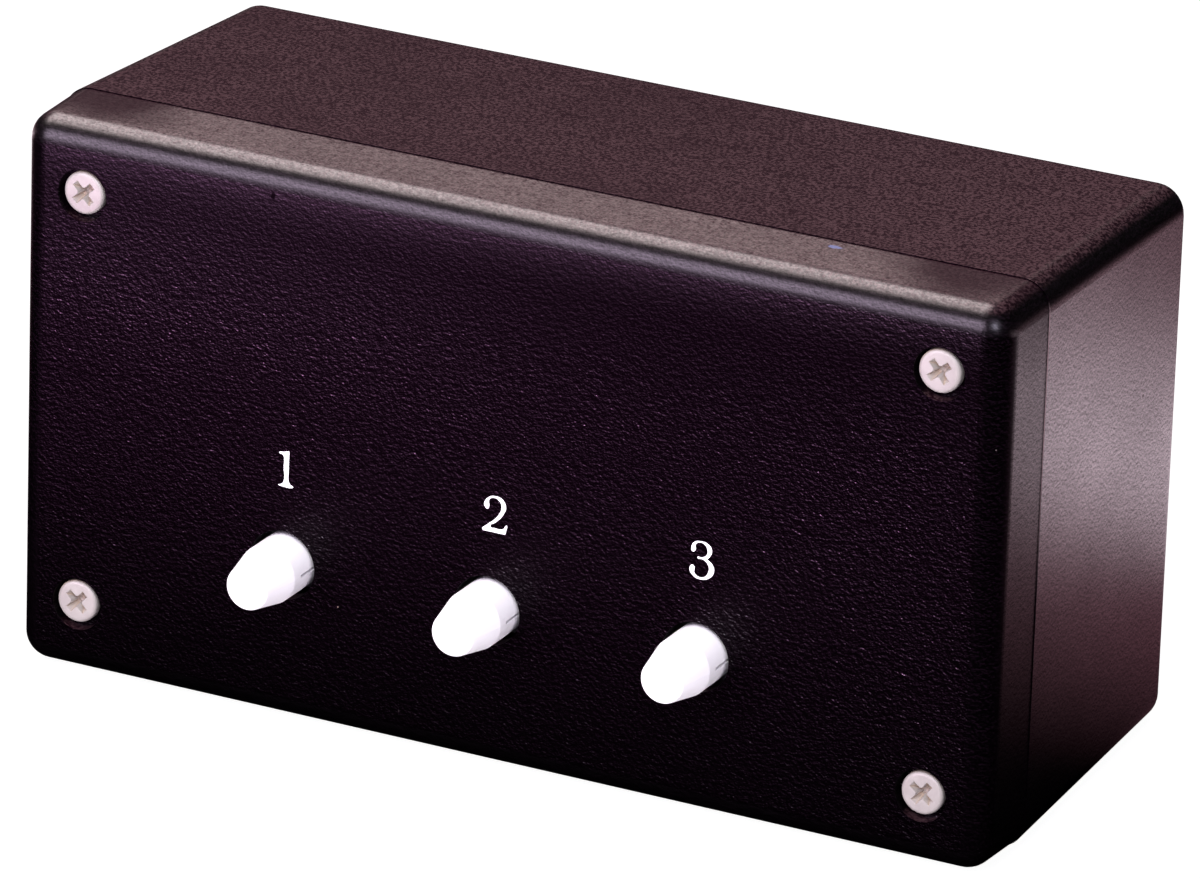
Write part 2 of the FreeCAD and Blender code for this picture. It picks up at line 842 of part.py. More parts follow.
def jack_body(x, z):
    """The moulded body of one socket: a block open to the board, with a round nose through the case."""
    half = jack_width / 2
    inside = half - jack_wall
    front_inside = back_inside - jack_front
    block = bar(x, z, half, half, jack_y, back_inside)
    nose = rod(x, z, back_inside, nose_end, nose_diameter)
    hollow = bar(x, z, inside, inside, jack_y - past, front_inside)
    bore = rod(x, z, front_inside - past, nose_end + past, plug_bore_diameter)
    return cut(joined([block, nose]), [hollow, bore])


def jack_board():
    """The socket board, with holes for the plug tips and springs and a tongue below for the header."""
    half = jack_columns[-1] + jack_width / 2 + jack_board_margin
    top = jack_rows[0] + jack_width / 2 + jack_board_margin
    tongue = header_half + jack_board_margin
    main_area = box(-half, half, jack_board_y, jack_y, -top, top)
    lower_area = box(ribbon_x - tongue, ribbon_x + tongue, jack_board_y, jack_y, jack_board_bottom, 0)
    sheet_way = spring_sheet / 2 + board_hole_clearance
    width_way = spring_width / 2 + board_hole_clearance
    low, high = jack_board_y - past, jack_y + past
    holes = []
    for x, z in jack_places:
        holes.append(rod(x, z, low, high, plug_hole_diameter))
        for (side_x, side_z), _ in jack_springs:
            reach_x = sheet_way if side_x else width_way
            reach_z = sheet_way if side_z else width_way
            holes.append(bar(x + side_x * spring_leaf, z + side_z * spring_leaf, reach_x, reach_z, low, high))
    for x in header_pin_xs():
        holes.append(rod(x, ribbon_lower, low, high, header_pin_diameter + 2 * board_hole_clearance))
    return cut(joined([main_area, lower_area]), holes)


def jack_washers():
    """The plain washers between the case and the nuts."""
    solids = []
    for x, z in jack_places:
        disc = rod(x, z, case_back, washer_back, washer_diameter)
        hole = rod(x, z, case_back - past, washer_back + past, nose_diameter + 2 * nose_hole_clearance)
        solids.append(disc.cut(hole))
    return Part.makeCompound(solids)


def jack_nuts():
    """The six-sided nuts that clamp the sockets to the case, bevelled on their outer face."""
    radius = nut_across_flats / 2 / math.cos(math.pi / nut_sides)
    bevel = [
        (washer_back, 0),
        (washer_back, radius),
        (nut_back - nut_bevel, radius),
        (nut_back, nut_across_flats / 2 - nut_face_margin),
        (nut_back, 0),
    ]
    solids = []
    for x, z in jack_places:
        corners = []
        for i in range(nut_sides):
            angle = 2 * math.pi * i / nut_sides
            corners.append(Vector(x + radius * math.cos(angle), washer_back, z + radius * math.sin(angle)))
        prism = filled(corners).extrude(Vector(0, nut_height, 0))
        thread = rod(x, z, washer_back - past, nut_back + past, nose_diameter + 2 * nut_thread_clearance)
        solids.append(prism.common(turned(x, z, bevel)).cut(thread))
    return Part.makeCompound(solids)


def build():
    """Every piece by name, in the box's own directions."""
    pieces = {
        "front_lid": front_lid(),
        "rear_case": rear_case(),
        "lid_screws": lid_screws(),
        "switch_frame": switch_frame(),
        "frame_screws": frame_screws(),
        "latch_bar": latch_bar(),
        "latch_spring": latch_spring(),
        "switch_board": switch_board(),
        "switch_header": switch_header(),
        "jack_header": jack_header(),
        "header_pins": header_pins(),
        "ribbon_cable": ribbon_cable(),
        "jack_board": jack_board(),
        "jack_washers": jack_washers(),
        "jack_nuts": jack_nuts(),
    }
    for i, x in enumerate(button_xs, start=1):
        pieces[f"button_{i}"] = button(x)
        pieces[f"plunger_{i}"] = plunger(x)
        pieces[f"return_spring_{i}"] = return_spring(x)
        pieces[f"moving_contacts_{i}"] = moving_contacts(x)
        pieces[f"switch_housing_{i}"] = switch_housing(x)
        pieces[f"switch_base_{i}"] = switch_base(x)
        pieces[f"terminals_{i}"] = terminals(x)
    lines = [f"input_{i}" for i in range(1, jack_column_count)] + ["output"]
    for line, x in zip(lines, jack_columns):
        for side, z in zip(("left", "right"), jack_rows):
            pieces[f"jack_body_{line}_{side}"] = jack_body(x, z)
            pieces[f"jack_contacts_{line}_{side}"] = jack_contacts(x, z)
    return pieces


def stand(shape):
    """Leans a piece back so that the case's underside is level, with the origin at the underside's middle."""
    middle = (lid_depth + case_back - back_radius) / 2
    shape.translate(Vector(0, -middle, case_half(middle)[1]))
    shape.rotate(Vector(0, 0, 0), Vector(1, 0, 0), -case_draft)
    return shape


def main():
    """Builds and writes every piece."""
    os.makedirs("parts", exist_ok=True)
    for name, shape in build().items():
        stand(shape)
        if not shape.isValid():
            raise ValueError(f"{name} isn't a valid solid")
        shape.exportStep(f"parts/{name}.step")
        print(name, len(shape.Solids), "solids,", round(shape.Volume, 1), "mm3")
    length = frame_y - button_inside - collar_thickness
    gap = least_gap(length, return_spring_diameter, return_spring_wire, return_spring_turns)
    print("return spring, least gap between turns:", round(gap, 2), "mm")
    gap = least_gap(latch_spring_length, latch_spring_diameter, latch_spring_wire, latch_spring_turns)
    print("latch spring, least gap between turns:", round(gap, 2), "mm")


main()
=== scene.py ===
import json
import logging
import math
from dataclasses import dataclass
from enum import Enum
from typing import Iterable, Sequence, Union

import bmesh
import bpy
from mathutils import Matrix, Vector


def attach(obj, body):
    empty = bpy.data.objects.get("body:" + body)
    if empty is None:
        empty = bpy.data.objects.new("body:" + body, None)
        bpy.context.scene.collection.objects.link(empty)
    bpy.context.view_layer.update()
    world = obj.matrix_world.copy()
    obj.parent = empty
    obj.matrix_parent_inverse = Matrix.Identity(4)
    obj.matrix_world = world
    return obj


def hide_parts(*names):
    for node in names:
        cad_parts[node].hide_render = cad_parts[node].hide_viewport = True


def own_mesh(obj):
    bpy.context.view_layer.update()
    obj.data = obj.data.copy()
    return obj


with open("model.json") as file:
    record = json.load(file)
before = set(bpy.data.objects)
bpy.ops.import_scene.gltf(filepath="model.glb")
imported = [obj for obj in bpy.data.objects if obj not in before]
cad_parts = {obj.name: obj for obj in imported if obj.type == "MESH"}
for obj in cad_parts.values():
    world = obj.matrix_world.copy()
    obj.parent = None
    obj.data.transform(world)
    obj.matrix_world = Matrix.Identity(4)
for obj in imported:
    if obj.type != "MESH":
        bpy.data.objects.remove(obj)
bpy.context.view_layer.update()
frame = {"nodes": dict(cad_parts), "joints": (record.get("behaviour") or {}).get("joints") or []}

log = logging.getLogger("line_level_selector")

MM = 0.001
Colour = tuple[float, float, float]
Point = tuple[float, float, float]
Span = tuple[float, float]

MIDDLE: Point = (0.0, 0.0, 0.0)
RIGHT: Point = (1.0, 0.0, 0.0)
BACK: Point = (0.0, 1.0, 0.0)
UP: Point = (0.0, 0.0, 1.0)
BLACK: Colour = (0.0, 0.0, 0.0)
WHITE: Colour = (1.0, 1.0, 1.0)


class Slot(Enum):
    """The record's material slots."""

    CASE = "case_plastic"
    CAP = "cap_plastic"
    SCREW = "nickel_screw"
    SHEET = "zinc_steel"
    SPRING = "spring_wire"
    CONTACT = "contact_brass"
    PLUNGER = "plunger_plastic"
    SWITCH = "switch_plastic"
    BOARD = "board_laminate"
    HEADER = "header_plastic"
    JACK = "jack_plastic"
    NUT = "nickel_nut"
    RIBBON = "ribbon_vinyl"


class Plating(Enum):
    """Colours of bare and plated metal."""

    NICKEL = (0.72, 0.745, 0.740)
    SATIN_NICKEL = (0.45, 0.42, 0.395)
    ZINC = (0.62, 0.64, 0.66)
    STEEL = (0.45, 0.45, 0.46)
    TINNED_BRASS = (0.78, 0.70, 0.48)


# Shaders


class Value:
    """An output socket that can be used in arithmetic."""

    def __init__(self, shader: "Shader", socket: bpy.types.NodeSocket) -> None:
        """Wraps a socket.

        Args:
            shader: the shader that the socket belongs to.
            socket: the output socket.
        """
        self.shader = shader
        self.socket = socket

    def _math(self, operation: str, left: "Operand", right: "Operand" = 0.0) -> "Value":
        """Joins two operands by a maths node.

        Args:
            operation: the node's operation.
            left: the first operand.
            right: the second operand.

        Returns:
            The result, a vector if this value is one.
        """
        kind = "ShaderNodeVectorMath" if self.socket.type == "VECTOR" else "ShaderNodeMath"
        return self.shader.node(kind, {"operation": operation}, {0: left, 1: right})

    def __add__(self, other: "Operand") -> "Value":
        """This value plus another."""
        return self._math("ADD", self, other)

    def __radd__(self, other: "Operand") -> "Value":
        """Another value plus this one."""
        return self._math("ADD", other, self)

    def __sub__(self, other: "Operand") -> "Value":
        """This value less another."""
        return self._math("SUBTRACT", self, other)

    def __rsub__(self, other: "Operand") -> "Value":
        """Another value less this one."""
        return self._math("SUBTRACT", other, self)

    def __mul__(self, other: "Operand") -> "Value":
        """This value times another."""
        return self._math("MULTIPLY", self, other)

    def __rmul__(self, other: "Operand") -> "Value":
        """Another value times this one."""
        return self._math("MULTIPLY", other, self)

    def __rpow__(self, other: "Operand") -> "Value":
        """Another value to the power of this one."""
        return self._math("POWER", other, self)

    def __lt__(self, other: "Operand") -> "Value":
        """1 where this value is less than another, and 0 elsewhere."""
        return self._math("LESS_THAN", self, other)

    def __neg__(self) -> "Value":
        """The value with its sign changed."""
        return self._math("MULTIPLY", self, -1.0)

    def __abs__(self) -> "Value":
        """The value without its sign."""
        return self._math("ABSOLUTE", self)

    def wave(self) -> "Value":
        """The value's cosine."""
        return self._math("COSINE", self)

    def either(self, other: "Operand") -> "Value":
        """The larger of two values."""
        return self._math("MAXIMUM", self, other)

    def ramp(self, low: float, high: float) -> "Value":
        """A smooth step.

        Args:
            low: where it is 0.
            high: where it is 1.

        Returns:
            The step, from 0 to 1.
        """
        sockets = {"Value": self, "From Min": low, "From Max": high}
        return self.shader.node("ShaderNodeMapRange", {"interpolation_type": "SMOOTHSTEP"}, sockets)

    def along(self, direction: Point) -> "Value":
        """The vector's length along a direction."""
        settings = {"operation": "DOT_PRODUCT"}
        return self.shader.node("ShaderNodeVectorMath", settings, {0: self, 1: direction}, "Value")

    def away(self, point: Point) -> "Value":
        """The vector's distance from a point."""
        settings = {"operation": "DISTANCE"}
        return self.shader.node("ShaderNodeVectorMath", settings, {0: self, 1: point}, "Value")


Operand = Union[Value, float, tuple]

SPECK_CHANCE: Point = (0.33, 0.33, 0.34)
RAREST_SPECK = 0.28
SPECK_SPREAD = 0.4


class Shader:
    """A material, or the surroundings, whose node tree is written as expressions."""

    def __init__(self, owner: bpy.types.Material | bpy.types.World) -> None:
        """Empties a node tree.

        Args:
            owner: the new material or the new surroundings.
        """
        self.owner = owner
        self.owner.use_nodes = True
        self.tree = self.owner.node_tree
        self.tree.nodes.clear()

    @classmethod
    def named(cls, name: str) -> "Shader":
        """Starts a new material of this name."""
        return cls(bpy.data.materials.new(name))

    def node(
        self,
        kind: str,
        settings: dict[str, object] | None = None,
        sockets: dict[str | int, Operand] | None = None,
        out: str | int = 0,
    ) -> Value | None:
        """Adds one node.

        Args:
            kind: the node's type.
            settings: its settings.
            sockets: values and links of its inputs.
            out: the output that is returned.

        Returns:
            The chosen output, or None where the node has no output.
        """
        node = self.tree.nodes.new(kind)
        for name, setting in (settings or {}).items():
            setattr(node, name, setting)
        for key, value in (sockets or {}).items():
            socket = node.inputs[key]
            if isinstance(value, Value):
                self.tree.links.new(value.socket, socket)
            elif socket.type == "RGBA":
                socket.default_value = (*value, 1.0)
            else:
                socket.default_value = value
        return Value(self, node.outputs[out]) if len(node.outputs) else None

    def place(self) -> Value:
        """The point's place in the part's frame, in metres."""
        return self.node("ShaderNodeTexCoord", out="Object")

    def facing(self) -> Value:
        """The surface's own direction."""
        return self.node("ShaderNodeNewGeometry", out="Normal")

    def ray(self, kind: str) -> Value:
        """Whether the light path that meets the surface is of this kind."""
        return self.node("ShaderNodeLightPath", out=kind)

    def noise(self, place: Value, per_metre: float, detail: float) -> Value:
        """Soft noise.

        Args:
            place: where it is taken.
            per_metre: how many lumps it has in a metre.
            detail: how many finer layers it has.

        Returns:
            The noise, from 0 to 1.
        """
        return self.node("ShaderNodeTexNoise", {}, {"Vector": place, "Scale": per_metre, "Detail": detail})

    def cells(self, place: Value, per_metre: float, out: str = "Distance") -> Value:
        """Irregular cells.

        Args:
            place: where they are taken.
            per_metre: how many there are in a metre.
            out: the output that is returned.

        Returns:
            The distance to a cell's middle, or the cell's colour.
        """
        return self.node("ShaderNodeTexVoronoi", {}, {"Vector": place, "Scale": per_metre}, out)

    def specks(self, place: Value, per_metre: float, radius_mm: float, share: float) -> Value:
        """Sparse round specks.

        Args:
            place: where they are taken.
            per_metre: how many cells there are in a metre.
            radius_mm: a speck's radius.
            share: the share of the cells that hold one.

        Returns:
            1 on a speck and 0 elsewhere.
        """
        reach = radius_mm * MM * per_metre
        chance = self.cells(place, per_metre, "Color").along(SPECK_CHANCE)
        size = 1.0 - self.cells(place, per_metre).ramp(reach * 0.6, reach)
        return size * (chance < RAREST_SPECK + share * SPECK_SPREAD)

    def mix(self, factor: Operand, one: Operand, other: Operand) -> Value:
        """Blends two colours.

        Args:
            factor: 0 for the first and 1 for the second.
            one: the first colour.
            other: the second colour.

        Returns:
            The blend.
        """
        return self.node("ShaderNodeMix", {"data_type": "RGBA"}, {0: factor, 6: one, 7: other}, 2)

    def bump(self, height: Value, depth_mm: float, normal: Value | None = None) -> Value:
        """Turns a height into a surface direction.

        Args:
            height: the height, from 0 to 1.
            depth_mm: what a height of 1 stands for.
            normal: the direction that is changed.

        Returns:
            The new direction.
        """
        sockets: dict[str | int, Operand] = {"Height": height, "Distance": depth_mm * MM, "Strength": 1.0}
        if normal is not None:
            sockets["Normal"] = normal
        return self.node("ShaderNodeBump", {}, sockets)

    def rounded(self, radius_mm: float) -> Value:
        """The surface's direction, with its sharp edges rounded off at this radius."""
        return self.node("ShaderNodeBevel", {"samples": 4}, {"Radius": radius_mm * MM})

    def blended(self, factor: Value, one: Value, other: Value) -> Value:
        """Blends two surfaces.

        Args:
            factor: 0 for the first and 1 for the second.
            one: the first surface.
            other: the second surface.

        Returns:
            The blend.
        """
        return self.node("ShaderNodeMixShader", {}, {0: factor, 1: one, 2: other})

    def finish(self, sockets: dict[str | int, Operand]) -> bpy.types.Material:
        """Ends the material with one principled surface that has these inputs."""
        return self.end(self.node("ShaderNodeBsdfPrincipled", {}, sockets))

    def end(self, surface: Value) -> bpy.types.Material | bpy.types.World:
        """Ends the node tree.

        Args:
            surface: what the material or the surroundings show.

        Returns:
            The material or the surroundings.
        """
        kind = "World" if isinstance(self.owner, bpy.types.World) else "Material"
        self.node(f"ShaderNodeOutput{kind}", {}, {"Surface": surface})
        return self.owner


# Finishes


@dataclass(frozen=True)
class Mark:
    """A small scuff or pit on the plastic.

    Attributes:
        place: its middle, in the frame.
        radius_mm: its radius along the width.
        colour: its colour.
        squeeze: how many times narrower it is along each axis than along the width.
    """

    place: Point
    radius_mm: float
    colour: Colour
    squeeze: Point = (1.0, 1.0, 1.0)

    def cover(self, shader: Shader, place: Value) -> Value:
        """How much of the mark covers a point.

        Args:
            shader: the shader.
            place: the point.

        Returns:
            1 on the mark and 0 elsewhere.
        """
        radius = self.radius_mm * MM
        ragged = shader.noise(place, 1800.0, 2.0) * radius
        reach = ((place - self.place) * self.squeeze).away(MIDDLE) + ragged
        return 1.0 - reach.ramp(radius, radius * 1.4)


LID_MARKS: tuple[Mark, ...] = (
    Mark((-0.03531, -0.03349, 0.07735), 0.5, (0.0001, 0.0001, 0.0001), (1.0, 1.0, 0.6)),
    Mark((-0.02388, -0.03531, 0.01945), 0.16, (0.24, 0.19, 0.15)),
    Mark((0.04416, -0.02279, 0.08183), 1.5, (0.10, 0.11, 0.20), (1.0, 2.2, 1.0)),
    Mark((0.0748, -0.02125, 0.07104), 0.28, (0.006, 0.001, 0.001)),
)
CASE_MARKS: tuple[Mark, ...] = (
    Mark((0.0739, 0.01367, 0.05298), 0.34, (0.012, 0.004, 0.002)),
    Mark((-0.04331, 0.0011, 0.08078), 0.26, (0.20, 0.15, 0.12)),
)
DULL_PLACES: tuple[Point, ...] = ((-0.066, -0.0205, 0.0819), (0.066, -0.0205, 0.0819))
FLAT_SIDE: Span = (0.97, 0.997)
FLAT_FRONT: Span = (0.98, 0.9985)


@dataclass(frozen=True)
class Faces:
    """How much a point belongs to each flat face of the box, from 0 to 1."""

    top: Value
    right: Value
    left: Value
    front: Value
    back: Value

    @classmethod
    def of(cls, facing: Value) -> "Faces":
        """Reads the faces from the surface's direction.

        Args:
            facing: the direction.

        Returns:
            The faces.
        """
        across, inward, upward = facing.along(RIGHT), facing.along(BACK), facing.along(UP)
        return cls(
            top=abs(upward).ramp(*FLAT_SIDE),
            right=across.ramp(*FLAT_SIDE),
            left=(-across).ramp(*FLAT_SIDE),
            front=(-inward).ramp(*FLAT_FRONT),
            back=inward.ramp(*FLAT_FRONT),
        )

    def edge(self) -> Value:
        """How much a point belongs to the rounded edges."""
        return 1.0 - self.top.either(self.right).either(self.left).either(self.front).either(self.back)


class PlasticSkin:
    """What varies over the black plastic: its grain, an emboss of the grain that stands for light from
    above, its dirt and which way it faces.
    """

    def __init__(self, shader: Shader, dull_places: Sequence[Point]) -> None:
        """Lays out what the colour and the sheen are made from.

        Args:
            shader: the shader.
            dull_places: the middles of the top's dull patches.
        """
        self.shader = shader
        self.place = shader.place()
        self.facing = shader.facing()
        self.faces = Faces.of(self.facing)
        self.edge = self.faces.edge()
        self.rightward = self.place.along(RIGHT)
        self.upward = self.place.along(UP)
        self.pebbles = self._grain(self.place)
        # slopes is an emboss, the grain less the grain a little higher up: it is high where a slope faces
        # up, paints highlights on the grain as if lit from above and sets how strongly the grain shines.
        self.slopes = (self.pebbles - self._grain(self.place + (0.00005, 0.0, 0.00011))) * 5.0 + 0.5
        self.drift = shader.noise(self.place, 30.0, 3.0)
        self.smudge = shader.noise(self.place, 75.0, 4.0)
        self.worn: Operand = 1.0
        for spot in dull_places:
            self.worn = (self.place.away(spot) + self.smudge * 0.010 - 0.005).ramp(0.005, 0.017) * self.worn

    def _grain(self, place: Value) -> Value:
        """The grain's height at a place, from 0 to 1."""
        warped = place * (0.8, 1.0, 1.15)
        return self.shader.noise(warped, 1750.0, 1.6) * 0.65 + self.shader.noise(warped, 3900.0, 1.2) * 0.35


@dataclass(frozen=True)
class FrontGrain:
    """How the grain on the front catches the light, by height and side, in metres.

    Attributes:
        crown: where the front turns into its rounded upper edge.
        crown_gain: how much brighter it is there.
        crown_loss: how much weaker its relief is there.
        brow: the bright line under that edge.
        brow_gain: how much brighter that line is.
        shoulder: where the upper left part grows brighter.
        shoulder_side: how far to the left it does so.
        shoulder_gain: how much brighter that part is.
        relief: how strongly the slopes differ low on the front.
        fades: where the relief grows weaker.
        fade_loss: how much weaker it grows.
        right: where the relief grows stronger at the right.
        right_gain: how much stronger it grows.
    """

    crown: Span = (0.0715, 0.083)
    crown_gain: float = 9.5
    crown_loss: float = 1.6
    brow: Span = (0.0755, 0.0795)
    brow_gain: float = 6.0
    shoulder: Span = (0.045, 0.070)
    shoulder_side: Span = (-0.03, 0.07)
    shoulder_gain: float = 2.5
    relief: float = 7.4
    fades: Span = (0.053, 0.076)
    fade_loss: float = 3.6
    right: Span = (0.02, 0.065)
    right_gain: float = 1.8

    def light(self, skin: PlasticSkin) -> Value:
        """How brightly the grain shines.

        Args:
            skin: what varies over the plastic.

        Returns:
            The factor, 1 for a middling slope low on the front.
        """
        crown = skin.upward.ramp(*self.crown)
        shoulder = skin.upward.ramp(*self.shoulder) * (-skin.rightward).ramp(*self.shoulder_side)
        level = crown * self.crown_gain + skin.upward.ramp(*self.brow) * self.brow_gain
        level = level + shoulder * self.shoulder_gain + 1.0
        relief = self.relief - skin.upward.ramp(*self.fades) * self.fade_loss - crown * self.crown_loss
        relief = relief + skin.rightward.ramp(*self.right) * self.right_gain
        return 2.0 ** ((skin.slopes - 0.5) * relief) * level


@dataclass(frozen=True)
class PaintedSeamLight:
    """Painted light on the rear case's ledge at the seam, on the right side: a light colour that stands in
    for the side's sheen and paints out the shade in the groove.

    Attributes:
        colour: its colour.
        faces: how far the ledge faces forward.
        starts: the heights where it starts.
        ends: the heights where it ends.
        right: how far to the right it lies.
    """

    colour: Colour
    faces: Span = (0.5, 0.9)
    starts: Span = (0.036, 0.064)
    ends: Span = (0.0770, 0.0795)
    right: Span = (0.05, 0.07)

    def cover(self, skin: PlasticSkin) -> Value:
        """How much of the painted light lies on a point.

        Args:
            skin: what varies over the plastic.

        Returns:
            The cover, from 0 to 1.
        """
        ledge = (-skin.facing.along(BACK)).ramp(*self.faces) * skin.upward.ramp(*self.starts)
        return ledge * (1.0 - skin.upward.ramp(*self.ends)) * skin.rightward.ramp(*self.right)


@dataclass(frozen=True)
class GrainedPlastic:
    """Black moulded plastic with a fine pebbled grain, whose colour holds painted highlights on the grain's
    slopes and, where set, painted light on the ledge at the seam.

    Attributes:
        dark: the plastic's own black, away from the painted highlights.
        painted_glint: the colour of a painted highlight on the grain's slopes that face up, as if lit from
            above.
        ground: the colour of the top between the grains of dust.
        dust: the colour of the fine dust on the top, laid on more thickly towards the right edge as a
            painted highlight.
        specks: the colour of the sparse specks.
        painted_seam_light: the painted light on the ledge at the seam.
        front_grain: how the grain on the front catches the light.
        front_sheen: how much the grain on the front shines.
        back_sheen: how much the grain on the back shines.
        left_sheen: how much the left side shines at a slant.
        top_sheen: how much the top shines at a slant.
        side_sheen: how much the right side shines at a slant.
        edge_sheen: how much the rounded edges shine.
        roughness: the mean roughness.
        gloss: how much the plastic itself shines.
        gloss_tint: the colour of that shine.
        coat_roughness: how soft the sheen is.
        grain_mm: how deep the grain is.
        edge_mm: the radius at which sharp edges are rounded off.
        dull_places: the middles of the top's dull patches.
        marks: small scuffs and pits.
    """

    dark: Colour = (0.0002, 0.0001, 0.0002)
    painted_glint: Colour = (0.0040, 0.0014, 0.0036)
    ground: Colour = (0.0065, 0.0008, 0.0030)
    dust: Colour = (0.0375, 0.0193, 0.0228)
    specks: Colour = (0.22, 0.18, 0.18)
    painted_seam_light: PaintedSeamLight | None = None
    front_grain: FrontGrain = FrontGrain()
    front_sheen: float = 0.036
    back_sheen: float = 0.16
    left_sheen: float = 0.064
    top_sheen: float = 0.6
    side_sheen: float = 0.8
    edge_sheen: float = 0.95
    roughness: float = 0.42
    gloss: float = 0.035
    gloss_tint: Colour = (1.0, 0.36, 0.82)
    coat_roughness: float = 0.30
    grain_mm: float = 0.05
    edge_mm: float = 0.12
    dull_places: tuple[Point, ...] = ()
    marks: tuple[Mark, ...] = ()

    def material(self, name: str) -> bpy.types.Material:
        """Makes the material.

        Args:
            name: its name.

        Returns:
            The material.
        """
        shader = Shader.named(name)
        skin = PlasticSkin(shader, self.dull_places)
        colour = self._colour(skin)
        sheen = self._sheen(skin)
        for mark in self.marks:
            cover = mark.cover(shader, skin.place)
            colour = shader.mix(cover, colour, mark.colour)
            sheen = sheen * (1.0 - cover * 0.9)
        height = skin.pebbles * (1.0 - skin.edge * 0.55)
        return shader.finish(
            {
                "Base Color": colour,
                "Roughness": self.roughness + (skin.drift - 0.5) * 0.1 + (skin.pebbles - 0.5) * 0.12,
                "Specular IOR Level": self.gloss,
                "Specular Tint": self.gloss_tint,
                "Coat Weight": sheen,
                "Coat Roughness": self.coat_roughness,
                "Normal": shader.bump(height, self.grain_mm, shader.rounded(self.edge_mm)),
            }
        )

    def _colour(self, skin: PlasticSkin) -> Value:
        """The colour with its painted highlights, the dust on the top and the painted light on the ledge at
        the seam.

        Args:
            skin: what varies over the plastic.

        Returns:
            The colour.
        """
        shader = skin.shader
        # Painted highlight: the grain's slopes that face up get a lighter colour as if lit from above,
        # weaker towards the bottom of the box as painted shade.
        lit = (0.6 + skin.drift * 0.8) * (skin.upward.ramp(-0.01, 0.045) * 0.7 + 0.3)
        colour = shader.mix(skin.slopes.ramp(0.5, 0.9) * lit, self.dark, self.painted_glint)
        dusty = skin.facing.along(UP).ramp(0.68, 0.98)
        powder = shader.noise(skin.place, 2200.0, 2.0).ramp(0.43, 0.61) * (skin.worn * 0.7 + 0.3)
        # More dust towards the right edge of the top is a painted highlight, standing in for the lamp's
        # shine that wraps round that edge; the rest varies at random.
        dust_and_painted_highlight = 0.12 + skin.drift * 0.8 + skin.smudge * 0.8 + skin.rightward.ramp(0.02, 0.075) * 0.6
        colour = shader.mix(dusty, colour, self.ground)
        colour = shader.mix(dusty * powder * dust_and_painted_highlight, colour, self.dust)
        # Painted light on the ledge at the seam.
        if self.painted_seam_light:
            colour = shader.mix(self.painted_seam_light.cover(skin), colour, self.painted_seam_light.colour)
        return shader.mix(shader.specks(skin.place, 210.0, 0.12, 0.06) * 0.35, colour, self.specks)

    def _sheen(self, skin: PlasticSkin) -> Value:
        """How much the surface shines.

        Args:
            skin: what varies over the plastic.

        Returns:
            The weight of the shine.
        """
        faces = skin.faces
        slant = skin.shader.node("ShaderNodeLayerWeight", {}, {"Blend": 0.5}, "Facing")
        flat = faces.top * self.top_sheen + faces.right * self.side_sheen + faces.left * self.left_sheen
        flat = flat * (slant.ramp(0.3, 0.6) * 0.7 + 0.3) * (0.45 + skin.slopes * 1.1)
        flat = flat * (0.75 + skin.smudge * 0.5) * (skin.worn * 0.9 + 0.1)
        rear = faces.back * 2.0 ** ((skin.slopes - 0.5) * 5.0) * self.back_sheen
        front = faces.front * self.front_grain.light(skin) * self.front_sheen
        lying = abs(skin.facing.along(UP)).ramp(0.0, 0.15) * 0.9 + 0.1
        return flat + rear + front + skin.edge * lying * (0.7 + skin.slopes * 0.6) * self.edge_sheen


@dataclass(frozen=True)
class GlossyCap:
    """Smooth white plastic of the push-on caps."""

    colour: Colour = (0.94, 0.925, 0.945)
    shade: Colour = (0.90, 0.875, 0.91)

    def material(self, name: str) -> bpy.types.Material:
        """Makes the material.

        Args:
            name: its name.

        Returns:
            The material.
        """
        shader = Shader.named(name)
        place = shader.place()
        flow = shader.noise(place * (1.0, 0.3, 1.0), 260.0, 3.0)
        skin = shader.noise(place, 3200.0, 2.0)
        specks = shader.specks(place, 420.0, 0.07, 0.08)
        colour = shader.mix(flow.ramp(0.35, 0.7), self.colour, self.shade)
        return shader.finish(
            {
                "Base Color": shader.mix(specks * 0.35, colour, (0.55, 0.52, 0.5)),
                "Roughness": 0.26 + flow * 0.1,
                "Normal": shader.bump(skin, 0.004, shader.rounded(0.12)),
            }
        )


def toned(colour: Colour, factors: Colour) -> Colour:
    """A colour with each of its parts multiplied by its own factor."""
    return tuple(part * factor for part, factor in zip(colour, factors))


# The warm tone painted into hollows of metal as light and shade, and how far the search for hollows reaches.
PAINTED_RECESS_TONE: Colour = (0.55, 0.41, 0.28)
PAINTED_RECESS_REACH_MM = 0.7


